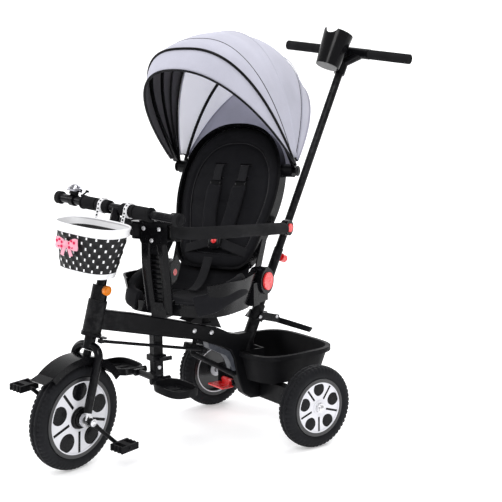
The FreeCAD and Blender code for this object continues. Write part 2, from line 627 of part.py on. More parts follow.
def linkage():
    start = STEER_PIN
    end = RING_PIN
    run = (end - start).normalize()
    link = rod(start + run * 5, end - run * 6, 4)
    for eye, bore in ((start, 4 + PIN_CLEAR), (end, 4 + CLEAR)):
        link = link.fuse(rod(eye - STEER_AXIS * 4, eye + STEER_AXIS * 4, 8))
        link = link.cut(rod(eye - STEER_AXIS * 6, eye + STEER_AXIS * 6, bore))
    save("link_rod", link)
    wheel = rod(RING_CENTRE - STEER_AXIS * 8, RING_CENTRE + STEER_AXIS * 8, 26)
    for step in range(10):
        way = Rotation(STEER_AXIS, 36 * step).multVec(X)
        notch = RING_CENTRE + way * 28
        wheel = wheel.cut(rod(notch - STEER_AXIS * 10, notch + STEER_AXIS * 10, 5))
    wheel = wheel.cut(rod(RING_CENTRE - STEER_AXIS * 10, RING_CENTRE + STEER_AXIS * 10, 6 + PIN_CLEAR))
    arm_way = (RING_PIN - RING_CENTRE)
    side_way = STEER_AXIS.cross(arm_way).normalize() * 7
    foot = RING_CENTRE + arm_way * 0.45 - STEER_AXIS * 8
    tip = RING_CENTRE + arm_way * 1.12 - STEER_AXIS * 8
    arm = prism([foot - side_way, tip - side_way, tip + side_way, foot + side_way], STEER_AXIS * 3.5)
    pin = rod(RING_PIN - STEER_AXIS * 6, RING_PIN + STEER_AXIS * 5, 4)
    save("idler_ring", wheel.fuse(arm).fuse(pin))


# ---------------------------------------------------------------- push handle
def push_handle():
    lower = rod(rod_point(22), rod_point(SLEEVE_TOP), SLEEVE_R)
    lower = lower.cut(rod(rod_point(30), rod_point(SLEEVE_TOP + 5), ROD_R + PIN_CLEAR))
    lower = lower.cut(rod(rod_point(SLEEVE_TOP - 20), rod_point(SLEEVE_TOP - 20, -30), 4 + PIN_CLEAR))
    save("push_tube_lower", pushed(lower))
    knob = rod(rod_point(SLEEVE_TOP - 20, -ROD_R - 0.5), rod_point(SLEEVE_TOP - 20, -24), 4)
    knob = knob.fuse(rod(rod_point(SLEEVE_TOP - 20, -20), rod_point(SLEEVE_TOP - 20, -38), 11))
    save("lock_knob", pushed(knob))
    upper = pipe(rod_point(150), rod_point(T_ALONG), ROD_R, ROD_R - 1.5)
    save("push_tube_upper", pushed(upper))

    yoke = rod(rod_point(T_ALONG - 66), rod_point(T_ALONG), 15)
    for side in (-1, 1):
        yoke = yoke.fuse(rod(rod_point(T_ALONG - 34), rod_point(T_ALONG, 0, side * 52), 12))
        yoke = yoke.fuse(rod(rod_point(T_ALONG), rod_point(T_ALONG, 0, side * 74), 14))
        yoke = yoke.fuse(rod(rod_point(T_ALONG), rod_point(T_ALONG, 0, side * 196), 9))
    yoke = yoke.fuse(rod(rod_point(T_ALONG - 6, 10), rod_point(T_ALONG - 6, CUP_FORWARD - 36), 14))
    yoke = yoke.cut(rod(rod_point(0), rod_point(T_ALONG), ROD_R))
    yoke = yoke.cut(cup_outer())
    save("t_handle", pushed(yoke))
    grips = None
    for side in (-1, 1):
        piece = pipe(rod_point(T_ALONG, 0, side * 74.2), rod_point(T_ALONG, 0, side * 196), 13, 9)
        piece = piece.fuse(rod(rod_point(T_ALONG, 0, side * 196), rod_point(T_ALONG, 0, side * 200), 13))
        grips = piece if grips is None else grips.fuse(piece)
    save("t_grips", pushed(grips))
    cavity = Part.makeCone(29, 37, CUP_HEIGHT, rod_point(CUP_LOW + 4, CUP_FORWARD), ROD_AXIS)
    notch = CUP_LOW + CUP_HEIGHT + 6
    lip = rod(rod_point(notch, CUP_FORWARD + 60), rod_point(notch, CUP_FORWARD), 20)
    save("cup_holder", pushed(cup_outer().cut(cavity).cut(lip)))


def cup_outer():
    return Part.makeCone(32, 40, CUP_HEIGHT, rod_point(CUP_LOW, CUP_FORWARD), ROD_AXIS)


# ---------------------------------------------------------------- seat
def pan_loft(scale, z_low, z_high):
    wires = [oval_wire(140 * scale, 112 * scale, 3.4, PAN_CENTRE, z_low),
             oval_wire(162 * scale, 128 * scale, 3.4, PAN_CENTRE, z_high)]
    return Part.makeLoft(wires, True)


def rim_cutter():
    """What lies above the pan's wavy rim: low in front between the knees, high at the sides."""
    low = 388
    profile = [Vector(0, -200, low), Vector(0, -120, low), Vector(0, -60, 410), Vector(0, 0, 440),
               Vector(0, 90, 452), Vector(0, 90, 520), Vector(0, -200, 520)]
    side_profile = [Vector(0, -200, 430), Vector(0, -120, 444), Vector(0, -50, 440),
                    Vector(0, 0, 446), Vector(0, 90, 458), Vector(0, 90, 520), Vector(0, -200, 520)]
    middle = prism([p - X * 118 for p in profile], Vector(236, 0, 0))
    whole = prism([p - X * 220 for p in side_profile], Vector(440, 0, 0))
    return middle.fuse(whole)


def seat():
    swivel = rod(Vector(0, 0, 346 + CLEAR), Vector(0, 0, 352), 40)
    swivel = swivel.fuse(block(-58, 58, -110, 52, 352, 358))

    pan = pan_loft(1.0, 358, 458).cut(pan_loft(0.97, 362.5, 462.5)).cut(rim_cutter())
    for side in (-1, 1):
        inner = side * CHEEK_U
        outer = side * (CHEEK_U + 18)
        cheek = rod(Vector(inner, HINGE_V, HINGE_Z), Vector(outer, HINGE_V, HINGE_Z), 36)
        cheek = cheek.fuse(block(min(inner, outer), max(inner, outer),
                                 HINGE_V - 34, HINGE_V + 12, 366, HINGE_Z))
        cheek = cheek.fuse(block(min(side * 118, outer), max(side * 118, outer),
                                 HINGE_V - 60, HINGE_V - 30, 362, 420))
        pan = pan.fuse(cheek)
        pan = pan.fuse(rod(Vector(outer, HINGE_V, HINGE_Z), Vector(outer + side * 6, HINGE_V, HINGE_Z), 33))
    sleeve = block(-22, 22, -187, -148, 358, 394)
    pan = pan.fuse(sleeve)
    pan = pan.cut(block(-17, 17, POST_V - 16, POST_V + 8, 363, 420))
    pan = pan.cut(block(-CHEEK_U + 0.1, CHEEK_U - 0.1, 28, 120, 366, 520))
    for side in (-1, 1):
        pan = pan.cut(rod(Vector(side * 100, HINGE_V, HINGE_Z), Vector(side * 170, HINGE_V, HINGE_Z),
                          BUTTON_STEM + PIN_CLEAR))
        pan = pan.cut(rod(Vector(side * (CHEEK_U + 14), HINGE_V, HINGE_Z),
                          Vector(side * (CHEEK_U + 32), HINGE_V, HINGE_Z), 23))
    save("seat_pan", seated(Part.makeCompound([pan, swivel])))

    cushion = pan_loft(0.95, 363, 463)
    cushion = cushion.cut(block(-200, 200, -200, 200, 392, 520))
    cushion = cushion.cut(block(-26, 26, -200, -140, 350, 420))
    for side in (-1, 1):
        cushion = cushion.cut(block(min(side * 117, side * 170), max(side * 117, side * 170), 5, 120, 350, 420))
    cushion = cushion.cut(block(-200, 200, 34, 120, 350, 420))
    save("seat_pad", seated(cushion))


def back_outline(inset, behind):
    """The egg-shaped outline of the seat back."""
    shape = [(0, 14), (52, 15), (92, 24), (114, 52), (128, 104), (146, 180), (151, 250), (138, 322),
             (100, 380), (50, 408), (0, 414)]
    points = []
    for across, along in shape:
        points.append((across, along))
    for across, along in reversed(shape[1:-1]):
        points.append((-across, along))
    centre_along = 215.0
    out = []
    for across, along in points:
        reach = math.hypot(across, along - centre_along)
        scale = (reach - inset) / reach
        out.append(back_point(centre_along + (along - centre_along) * scale, behind, across * scale))
    return out


def seat_back():
    shell = smooth_face(back_outline(0, -26), BACK_REAR * 34)
    shell = shell.cut(smooth_face(back_outline(6, -30), BACK_REAR * 33))
    for side in (-1, 1):
        foot = Vector(side * (CHEEK_U - 16), HINGE_V, HINGE_Z)
        hinge = rod(foot, Vector(side * (CHEEK_U - CLEAR), HINGE_V, HINGE_Z), 34)
        arm = prism([back_point(0, -14, side * 122), back_point(104, -14, side * 125),
                     back_point(104, 8, side * 125), back_point(0, 14, side * 122)], X * side * 4)
        shell = shell.fuse(hinge).fuse(arm)
        shell = shell.cut(rod(Vector(side * 100, HINGE_V, HINGE_Z), Vector(side * 145, HINGE_V, HINGE_Z),
                              BUTTON_STEM + PIN_CLEAR))
    for side in (-1, 1):
        foot = Vector(side * 146, HUB_V, HUB_Z)
        hub = rod(foot, foot + X * side * 28, 17).fuse(rod(foot, foot + X * side * 42, 6))
        hub = hub.cut(smooth_face(back_outline(3, -27), BACK_REAR * 36))
        shell = shell.fuse(hub)
    save("seat_back_shell", seated(shell))
    pad = smooth_face(back_outline(8, -22), BACK_REAR * 24)
    pad = pad.cut(rod(Vector(-200, HINGE_V, HINGE_Z), Vector(200, HINGE_V, HINGE_Z), 35))
    save("seat_back_pad", seated(pad))

    straps = None
    for side in (-1, 1):
        strap = prism([back_point(300, -22.4, side * 36 - 10), back_point(300, -22.4, side * 36 + 10),
                       back_point(70, -22.4, side * 30 + 10), back_point(70, -22.4, side * 30 - 10)],
                      BACK_REAR * -3)
        pad = prism([back_point(215, -25.6, side * 36 - 20), back_point(215, -25.6, side * 36 + 20),
                     back_point(90, -25.6, side * 30 + 20), back_point(90, -25.6, side * 30 - 20)],
                    BACK_REAR * -9)
        piece = strap.fuse(pad)
        straps = piece if straps is None else straps.fuse(piece)
    buckle = prism([back_point(96, -26, -20), back_point(96, -26, 20), back_point(60, -26, 20),
                    back_point(60, -26, -20)], BACK_REAR * -12)
    save("harness", seated(straps.fuse(buckle)))


def buttons():
    for name, side in (("left", 1), ("right", -1)):
        foot = Vector(side * (CHEEK_U - 16), HINGE_V, HINGE_Z)
        face = Vector(side * (CHEEK_U + 17), HINGE_V, HINGE_Z)
        cap = rod(face, face + X * side * 11, 22.6)
        stem = rod(foot, face + X * side, BUTTON_STEM)
        save("recline_button_" + name, seated(cap.fuse(stem)))
        middle = Vector(side * CAP_U, CAP_V, CAP_Z)
        cap = rod(middle + X * side * 7, middle + X * side * 13, 11)
        stem = rod(middle + X * side * 1, middle + X * side * 8, 5)
        save("guard_button_" + name, seated(cap.fuse(stem)))


def guard_arm(side):
    """One padded arm, from its pivot beside the front plate to the cap beside the seat back."""
    path = [Vector(side * GUARD_PIVOT_U, GUARD_V, GUARD_Z), Vector(side * GUARD_CORNER, GUARD_V, GUARD_Z),
            Vector(side * CAP_U, -120, GUARD_Z), Vector(side * CAP_U, CAP_V - 14, CAP_Z)]
    return wire_tube(path, 15, 50)


def guard():
    """The front guard: a plate on a ribbed post, and two padded arms that swing outward."""
    half = GUARD_PIVOT_U - 16
    front = GUARD_V - 13
    plate = prism([Vector(-half, front, 594), Vector(half, front, 594), Vector(half, front, 546),
                   Vector(22, front, 514), Vector(-22, front, 514), Vector(-half, front, 546)], Y * 28)
    for z in (GUARD_Z + 18, GUARD_Z - 20):
        for side in (-1, 1):
            ear = rod(Vector(side * GUARD_PIVOT_U, GUARD_V, z), Vector(side * GUARD_PIVOT_U, GUARD_V, z + 4), 13)
            bridge = block(min(side * half, side * GUARD_PIVOT_U) - 1, max(side * half, side * GUARD_PIVOT_U) + 1,
                           GUARD_V - 13, GUARD_V + 13, z, z + 4)
            plate = plate.fuse(ear).fuse(bridge)
    for side in (-1, 1):
        pivot = Vector(side * GUARD_PIVOT_U, GUARD_V, GUARD_Z)
        pin = rod(pivot - Z * 19, pivot + Z * 21, 4)
        plate = plate.fuse(pin)
    post = prism([Vector(-14, POST_V - 10, 366), Vector(14, POST_V - 10, 366),
                  Vector(20, GUARD_V, 530), Vector(-20, GUARD_V, 530)], Y * 16)
    save("guard_post", seated(plate.fuse(post)))
    for name, side in (("left", 1), ("right", -1)):
        pivot = Vector(side * GUARD_PIVOT_U, GUARD_V, GUARD_Z)
        arm = guard_arm(side)
        knuckle = rod(pivot - Z * 15.6, pivot + Z * 17.6, 12.5)
        arm = arm.fuse(knuckle).cut(rod(pivot - Z * 60, pivot + Z * 60, 4 + PIN_CLEAR))
        for low in (-20.4, 17.6):
            arm = arm.cut(rod(pivot + Z * low, pivot + Z * (low + 4.8), 17))
        save("guard_arm_" + name, seated(arm))
        middle = Vector(side * CAP_U, CAP_V, CAP_Z)
        cap = rod(middle - X * side * 8, middle + X * side * 10, 20)
        cap = cap.fuse(rod(middle, Vector(side * CAP_U, CAP_V - 13.5, CAP_Z), 13))
        cap = cap.cut(rod(middle, middle + X * side * 20, 11.4)).cut(guard_arm(side))
        cap = cap.cut(rod(middle - X * side * 3.5, middle, 5 + CLEAR))
        save("guard_cap_" + name, seated(cap))


# ---------------------------------------------------------------- canopy
def bow_wire(theta, width, height, power, low):
    """A closed D shape in a plane through the hub axis, theta back from upright."""
    way = math.radians(theta)
    count = 18
    start = math.asin(min(1.0, (low / height)) ** (power / 2))
    points = []
    for step in range(count + 1):
        angle = start + (math.pi - 2 * start) * step / count
        c = math.cos(angle)
        s = math.sin(angle)
        across = math.copysign(abs(c) ** (2 / power), c) * width
        rise = abs(s) ** (2 / power) * height
        points.append(Vector(across, HUB_V + rise * math.sin(way), HUB_Z + rise * math.cos(way)))
    curve = Part.BSplineCurve()
    curve.interpolate(points)
    return Part.Wire([curve.toShape(), Part.makeLine(points[-1], points[0])])


def canopy_shell(bows, thickness):
    """A fabric shell over several bows, open below and at both ends."""
    outer = Part.makeLoft([bow_wire(t, w, h, p, 40) for t, w, h, p in bows], True)
    trimmed = []
    for index, (t, w, h, p) in enumerate(bows):
        if index == 0:
            t = t - 2.0
        if index == len(bows) - 1:
            t = t + 2.0
        trimmed.append(bow_wire(t, w - thickness, h - thickness, p, 20))
    return outer.cut(Part.makeLoft(trimmed, True))


def canopy():
    rear = canopy_shell(CANOPY_REAR, 3.0)
    for side in (-1, 1):
        strut = rod(Vector(side * 171, HUB_V, HUB_Z + 17.4), Vector(side * 171, HUB_V + 14, HUB_Z + 60), 3)
        rear = rear.fuse(strut)
    save("canopy_rear", seated(rear))
    front = canopy_shell(CANOPY_FRONT, 3.0)
    for side in (-1, 1):
        ring_foot = Vector(side * 176, HUB_V, HUB_Z)
        hub = rod(ring_foot, ring_foot + X * side * 9, 15)
        hub = hub.cut(rod(ring_foot - X * side * 9, ring_foot + X * side * 19, 6 + PIN_CLEAR))
        arm = rod(Vector(side * 180.5, HUB_V - 8, HUB_Z + 9), Vector(side * 179.5, HUB_V - 34, HUB_Z + 50), 4)
        front = front.fuse(hub).fuse(arm)
    save("canopy_front", seated(front))


def main():
    os.makedirs("parts", exist_ok=True)
    wheels()
    frame()
    frame_details()
    footrests()
    rear_pad()
    brake()
    front_end()
    pedals()
    linkage()
    push_handle()
    seat()
    seat_back()
    buttons()
    guard()
    canopy()


main()
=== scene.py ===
import json
import math

import bmesh
import bpy
from mathutils import Matrix, Vector


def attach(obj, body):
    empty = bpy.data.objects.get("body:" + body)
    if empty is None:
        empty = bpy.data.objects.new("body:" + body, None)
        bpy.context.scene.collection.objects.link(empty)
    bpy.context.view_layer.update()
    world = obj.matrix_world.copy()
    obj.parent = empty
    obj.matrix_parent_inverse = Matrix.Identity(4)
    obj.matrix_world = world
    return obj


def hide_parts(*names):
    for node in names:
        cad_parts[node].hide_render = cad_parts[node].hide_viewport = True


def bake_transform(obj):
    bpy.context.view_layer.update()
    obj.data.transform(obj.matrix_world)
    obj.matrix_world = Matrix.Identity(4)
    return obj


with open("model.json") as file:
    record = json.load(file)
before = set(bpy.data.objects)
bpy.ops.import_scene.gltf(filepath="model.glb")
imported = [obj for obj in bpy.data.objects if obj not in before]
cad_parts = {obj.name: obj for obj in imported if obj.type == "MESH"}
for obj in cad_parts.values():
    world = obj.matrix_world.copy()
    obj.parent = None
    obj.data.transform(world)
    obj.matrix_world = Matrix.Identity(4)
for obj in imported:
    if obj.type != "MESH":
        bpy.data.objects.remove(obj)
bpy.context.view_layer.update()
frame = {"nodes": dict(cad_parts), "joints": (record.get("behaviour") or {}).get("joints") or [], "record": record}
nodes = frame["nodes"]
joint = {j["name"]: j for j in frame["joints"]}

# -------------------- dimensions, in millimetres
HEAD_LOW = Vector((0, -223, 330))
SWIVEL_Y = 90
HINGE_V, HINGE_Z = 66, 417          # the seat back's hinge
HUB_V, HUB_Z = 186, 686             # the canopy's hub
HOOD_LOW = 34                       # the canopy's lower edge, above its hub
FRONT_R, REAR_R, TYRE_W = 131, 105, 45
RIM_INSET = 40.3                    # from the tread down to a wheel's pale face
FACE_OUT = 17.6                     # that face, out from the wheel's middle plane
BAR_ALONG = 301                     # the handlebar, up the steering axis
BELL_AT = Vector((-143, -181, 652))
BASKET = Vector((0, -222, 594))
BASKET_U, BASKET_V, BASKET_DEPTH, BASKET_RAKE = 103, 54, 118, 16
STRAP_R = 18.5                      # the basket's straps, round the handlebar's sleeves
SHIFT = Vector(joint["steer"]["pos_m"]) * 1000 - HEAD_LOW
# Each bow of the canopy: its angle, half width, height, and how square it is.
CANOPY_REAR = [(-10, 172, 350, 2.25), (8, 172, 350, 2.3), (28, 172, 342, 2.4), (45, 172, 330, 2.4)]
CANOPY_FRONT = [(-48, 190, 388, 2.25), (-38, 184, 392, 2.7), (-22, 183, 376, 2.5), (-6, 182, 358, 2.27)]

# -------------------- angles, cloth in metres, view and light
STEER_LEAN, STEER_REST = math.radians(15.2), math.radians(16)
SEAT_REST, BACK_LEAN = math.radians(24), math.radians(24.7)
HOOD_CLOTH, CURTAIN_CLOTH, APRON_CLOTH = 0.0016, 0.0014, 0.0020
X, Z = Vector((1, 0, 0)), Vector((0, 0, 1))
SIDES = ((1, "left"), (-1, "right"))
CAMERA_AZIMUTH, CAMERA_LIFT, CAMERA_ROLL = (math.radians(a) for a in (54, 9.3, -0.7))
CAMERA_AT = Vector((2317.5, -1432.4, 944.1))
CAMERA_LENS, CAMERA_SENSOR = 79.43, 36
FLOOR_GLOW, WORLD_LIGHT = 0.34, 0.60
# Each lamp: its name, place, size and power.
LAMPS = (("key", (2.6, -2.2, 3.4), 1.6, 75), ("left", (-2.6, -2.6, 1.8), 1.6, 38),
         ("rim", (-1.2, 3.0, 2.6), 1.4, 45), ("top", (0.3, 0.2, 3.6), 2.0, 40))


# -------------------- places
def metres(point):
    """A point drawn in millimetres, with its origin under the head tube's plane, in the frame."""
    return (point + SHIFT) / 1000


def seat_point(u, v, z):
    """A point of the swivelled seat: u to its left, v behind its swivel, z up."""
    c, s = math.cos(SEAT_REST), math.sin(SEAT_REST)
    return metres(Vector((u * c - v * s, SWIVEL_Y + u * s + v * c, z)))


def back_point(along, behind, across):
    """A point of the seat back, up from its hinge and behind its plane."""
    c, s = math.cos(BACK_LEAN), math.sin(BACK_LEAN)
    return seat_point(across, HINGE_V + along * s + behind * c, HINGE_Z + along * c - behind * s)


STEER_AXIS = Vector((0, math.sin(STEER_LEAN), math.cos(STEER_LEAN)))
STEER_AHEAD = Vector((0, -math.cos(STEER_LEAN), math.sin(STEER_LEAN)))
STEER_TURN = Matrix.Rotation(STEER_REST, 3, STEER_AXIS)


def front_point(point):
    """A point of the front end, drawn straight ahead and turned to its rest."""
    return metres(HEAD_LOW + STEER_TURN @ (point - HEAD_LOW))


def basket_place(offset):
    """A point of the basket, measured from the middle of its rim."""
    return front_point(BASKET + offset)


def stem_point(along, ahead, across):
    """A point of the front end, along the steering axis, ahead of it and across."""
    return front_point(HEAD_LOW + STEER_AXIS * along + STEER_AHEAD * ahead + X * across)


# -------------------- materials
class Look:
    """A small helper for building one procedural material."""

    def __init__(self, name, colour, rough, metal=0.0, coat=0.0, sheen=0.0, shine=0.5):
        self.material = bpy.data.materials.new(name)
        self.material.use_nodes = True
        self.tree = self.material.node_tree
        self.shader = self.tree.nodes["Principled BSDF"]
        self.shader.inputs["Metallic"].default_value = metal
        self.shader.inputs["Specular IOR Level"].default_value = shine
        self.shader.inputs["Coat Weight"].default_value = coat
        self.shader.inputs["Coat Roughness"].default_value = 0.12
        self.shader.inputs["Sheen Weight"].default_value = sheen
        self.shader.inputs["Sheen Roughness"].default_value = 0.4
        self.material.diffuse_color = (*colour, 1)
        self.coords = self.node("ShaderNodeTexCoord").outputs["Object"]
        self.colour = colour
        self.rough = rough
        self.height = None

    def node(self, kind, **settings):
        made = self.tree.nodes.new(kind)
        for key, value in settings.items():
            setattr(made, key, value)
        return made

    def join(self, output, socket):
        self.tree.links.new(output, socket)

    def noise(self, scale, detail=3.0, stretch=None):
        made = self.node("ShaderNodeTexNoise")
        made.inputs["Scale"].default_value = scale
        made.inputs["Detail"].default_value = detail
        source = self.coords
        if stretch:
            mapping = self.node("ShaderNodeMapping")
            mapping.inputs["Scale"].default_value = stretch
            self.join(source, mapping.inputs["Vector"])
            source = mapping.outputs["Vector"]
        self.join(source, made.inputs["Vector"])
        return made.outputs["Fac"]

    def span(self, value, low, high, start=0.3, end=0.7):
        made = self.node("ShaderNodeMapRange")
        made.inputs["From Min"].default_value = start
        made.inputs["From Max"].default_value = end
        made.inputs["To Min"].default_value = low
        made.inputs["To Max"].default_value = high
        self.join(value, made.inputs["Value"])
        return made.outputs["Result"]

    def maths(self, kind, a, b):
        made = self.node("ShaderNodeMath", operation=kind)
        for socket, value in zip(made.inputs, (a, b)):
            if isinstance(value, (int, float)):
                socket.default_value = value
            else:
                self.join(value, socket)
        return made.outputs[0]

    def mix(self, factor, first, second):
        made = self.node("ShaderNodeMix", data_type="RGBA")
        self.join(factor, made.inputs["Factor"])
        for socket, value in ((made.inputs["A"], first), (made.inputs["B"], second)):
            if isinstance(value, tuple):
                socket.default_value = (*value, 1)
            else:
                self.join(value, socket)
        return made.outputs["Result"]

    def blotches(self, scale=9, amount=0.18):
        """Slow colour variation from darker to lighter, over the whole piece."""
        dark = tuple(c * (1 - amount) for c in self.colour)
        light = tuple(min(1, c * (1 + amount) + amount * 0.004) for c in self.colour)
        return self.mix(self.span(self.noise(scale), 0, 1), dark, light)

    def worn(self, base, lift):
        """Lighter rubbed edges."""
        geometry = self.node("ShaderNodeNewGeometry")
        edge = self.span(geometry.outputs["Pointiness"], 0, 1, 0.53, 0.62)
        rub = self.maths("MULTIPLY", edge, self.span(self.noise(70), 0, 1, 0.42, 0.68))
        return self.mix(rub, base, tuple(min(1, c + lift) for c in self.colour))

    def raise_by(self, height):
        self.height = height if self.height is None else self.maths("ADD", self.height, height)

    def finish(self, base, rough_scale=45, rough_amount=0.08, depth=0.0002, strength=0.5):
        self.join(base, self.shader.inputs["Base Color"])
        low, high = max(0.03, self.rough - rough_amount), min(1, self.rough + rough_amount)
        self.join(self.span(self.noise(rough_scale), low, high), self.shader.inputs["Roughness"])
        if self.height is not None:
            bump = self.node("ShaderNodeBump")
            bump.inputs["Distance"].default_value = depth
            bump.inputs["Strength"].default_value = strength
            self.join(self.height, bump.inputs["Height"])
            self.join(bump.outputs["Normal"], self.shader.inputs["Normal"])
        return self.material


def moulded(name, colour, rough, coat=0.0, grain=260, depth=0.00015, lift=0.10, shine=0.5):
    """Injection-moulded plastic: a fine grain, rubbed edges, slow colour variation."""
    look = Look(name, colour, rough, coat=coat, shine=shine)
    look.raise_by(look.noise(grain, 4))
    return look.finish(look.worn(look.blotches(7, 0.12), lift), depth=depth, strength=0.35)


def painted(name, colour, rough, coat):
    """Paint on metal: a very fine grain under a thin coat."""
    look = Look(name, colour, rough, coat=coat, shine=0.07)
    look.raise_by(look.noise(420, 2))
    return look.finish(look.worn(look.blotches(6, 0.15), 0.014), depth=0.00008, strength=0.3)


def metal(name, colour, rough):
    """Bare or plated metal with faint drawn marks."""
    look = Look(name, colour, rough, metal=1.0)
    look.raise_by(look.noise(90, 5, stretch=(1, 14, 14)))
    return look.finish(look.blotches(30, 0.08), depth=0.00005, strength=0.3)


def woven(name, colour, pitch, sheen=0.3, depth=0.0003, rough=0.85, wrinkle=0.0):
    """Cloth: crossed threads at a pitch in metres, soft wrinkles, and a little sheen."""
    look = Look(name, colour, rough, sheen=sheen, shine=0.1)
    for direction, share in (("X", 0.5), ("Y", 0.35), ("Z", 0.5)):
        wave = look.node("ShaderNodeTexWave", bands_direction=direction)
        wave.inputs["Scale"].default_value = 0.314 / pitch
        wave.inputs["Distortion"].default_value = 0.6
        wave.inputs["Detail"].default_value = 1
        look.join(look.coords, wave.inputs["Vector"])
        look.raise_by(look.maths("MULTIPLY", wave.outputs["Fac"], share))
    if wrinkle:
        look.raise_by(look.maths("MULTIPLY", look.noise(16, 3), wrinkle))
    fleck = look.mix(look.span(look.noise(700, 2), 0, 0.35), look.blotches(8, 0.10),
                     tuple(c * 0.72 for c in look.colour))
    return look.finish(fleck, depth=depth, strength=0.6)


def foam(name, colour):
    """Open foam: small cells over a slow unevenness."""
    look = Look(name, colour, 0.9, shine=0.08)
    cells = look.node("ShaderNodeTexVoronoi")
    cells.inputs["Scale"].default_value = 420
    look.join(look.coords, cells.inputs["Vector"])
    look.raise_by(cells.outputs["Distance"])
    look.raise_by(look.maths("MULTIPLY", look.noise(25), 0.6))
    return look.finish(look.blotches(12, 0.25), depth=0.0005, strength=0.7)


def rubber(name, colour):
    """Tyre rubber, a little dusty in patches."""
    look = Look(name, colour, 0.62, shine=0.12)
    look.raise_by(look.noise(180, 5))
    dusty = look.mix(look.span(look.noise(28, 5), 0, 0.3, 0.45, 0.75), look.blotches(10, 0.15),
                     tuple(c * 1.9 for c in colour))
    return look.finish(dusty, depth=0.0003, strength=0.5)


def rim_look(name, centre, axis, face_radius, hub_share, colour):
    """White-silver wheel face inside a black outer ring, by distance from the axle."""
    look = Look(name, colour, 0.35, coat=0.3)
    offset = look.node("ShaderNodeVectorMath", operation="SUBTRACT")
    look.join(look.coords, offset.inputs[0])
    offset.inputs[1].default_value = centre
    cross = look.node("ShaderNodeVectorMath", operation="CROSS_PRODUCT")
    look.join(offset.outputs["Vector"], cross.inputs[0])
    cross.inputs[1].default_value = axis
    length = look.node("ShaderNodeVectorMath", operation="LENGTH")
    look.join(cross.outputs["Vector"], length.inputs[0])
    radius = length.outputs["Value"]
    along = look.node("ShaderNodeVectorMath", operation="DOT_PRODUCT")
    look.join(offset.outputs["Vector"], along.inputs[0])
    along.inputs[1].default_value = axis
    depth = look.maths("ABSOLUTE", along.outputs["Value"], 0)
    outer = look.span(radius, 0, 1, face_radius - 0.0005, face_radius + 0.0005)
    middle = look.span(radius, 1, 0, face_radius * hub_share, face_radius * (hub_share + 0.01))
    sunk = look.span(depth, 1, 0, 0.0160, 0.0166)
    black = look.maths("MAXIMUM", outer, look.maths("MAXIMUM", middle, sunk))
    look.raise_by(look.noise(300, 3))
    base = look.mix(black, look.blotches(14, 0.05), (0.012, 0.012, 0.014))
    return look.finish(base, depth=0.0001, strength=0.3)


LOOKS = {
    "black_paint": painted("satin_black_paint", (0.005, 0.005, 0.006), 0.38, 0.04),
    "black_tube": painted("gloss_black_paint", (0.003, 0.003, 0.004), 0.18, 0.14),
    "black_plastic": moulded("gloss_black_plastic", (0.0035, 0.0035, 0.0042), 0.22, coat=0.12,
                             lift=0.004, shine=0.07),
    "matte_plastic": moulded("matte_black_plastic", (0.006, 0.006, 0.007), 0.50, grain=420, depth=0.0003,
                             lift=0.006, shine=0.06),
    "grey_plastic": moulded("slate_plastic", (0.045, 0.05, 0.065), 0.45, lift=0.03),
    "rubber_tyre": rubber("tyre_rubber", (0.0085, 0.0088, 0.0105)),
    "steel": metal("zinc_steel", (0.72, 0.72, 0.74), 0.28),
    "foam": foam("nubbed_foam", (0.012, 0.012, 0.013)),
    "red_plastic": moulded("red_plastic", (0.78, 0.012, 0.014), 0.25, coat=0.4, lift=0.12),
    "orange_lens": moulded("orange_lens", (1.0, 0.26, 0.01), 0.15, coat=0.6),
    "white_plastic": moulded("white_plastic", (0.86, 0.86, 0.88), 0.38, coat=0.2, lift=0.05),
    "weave": moulded("basket_black", (0.009, 0.009, 0.010), 0.36, coat=0.08, lift=0.008, shine=0.15),
    "pink_cloth": woven("pink_ribbon", (0.95, 0.42, 0.53), 0.0012, sheen=0.5, rough=0.7),
    "black_fabric": woven("black_seat_cloth", (0.010, 0.010, 0.012), 0.0016, sheen=0.04, wrinkle=1.2),
    "canopy_fabric": woven("canopy_oxford", (0.48, 0.48, 0.56), 0.0011, sheen=0.1, depth=0.0002,
                           wrinkle=1.6),
}
LINING = woven("canopy_lining", (0.085, 0.082, 0.092), 0.0012, sheen=0.1, wrinkle=1.6)
# Pale underside of the rear hood and the curtain, with a painted glow: its emission stands in for daylight shining
# through the thin cloth. Its lighter tone is partly the cloth's own colour and partly painted light.
PALE_LINING_PAINTED_GLOW = woven("light_lining_painted_glow", (0.74, 0.74, 0.80), 0.0012, sheen=0.1, wrinkle=1.6)
PAINTED_GLOW_INPUTS = PALE_LINING_PAINTED_GLOW.node_tree.nodes["Principled BSDF"].inputs     # daylight through thin cloth
PAINTED_GLOW_INPUTS["Emission Color"].default_value = (0.50, 0.50, 0.54, 1)
PAINTED_GLOW_INPUTS["Emission Strength"].default_value = 0.62
PIPING = moulded("dark_piping", (0.020, 0.020, 0.023), 0.35, lift=0.01, shine=0.2)
SEAM = woven("canopy_seam", (0.36, 0.36, 0.43), 0.0011, sheen=0.1)
BINDING = woven("black_binding", (0.010, 0.010, 0.012), 0.0010, sheen=0.05)
WEBBING = woven("strap_webbing", (0.016, 0.016, 0.018), 0.0022, depth=0.0005, sheen=0.1)
RED_DOT = woven("red_dots", (0.70, 0.02, 0.10), 0.0012)
HOLLOW = moulded("wheel_hole_black", (0.004, 0.004, 0.005), 0.24, coat=0.05, lift=0.003, shine=0.12)
CHROME = metal("chrome_dome", (0.34, 0.34, 0.37), 0.12)


# -------------------- mesh helpers
def new_mesh(name, points, faces, materials, smooth=True, indices=None):
    data = bpy.data.meshes.new(name)
    data.from_pydata([tuple(p) for p in points], [], faces)
    for material in materials:
        data.materials.append(material)
    for number, face in enumerate(data.polygons):
        face.use_smooth = smooth
        if indices:
            face.material_index = indices[number]
    data.validate()
    made = bpy.data.objects.new(name, data)
    bpy.context.scene.collection.objects.link(made)
    return made


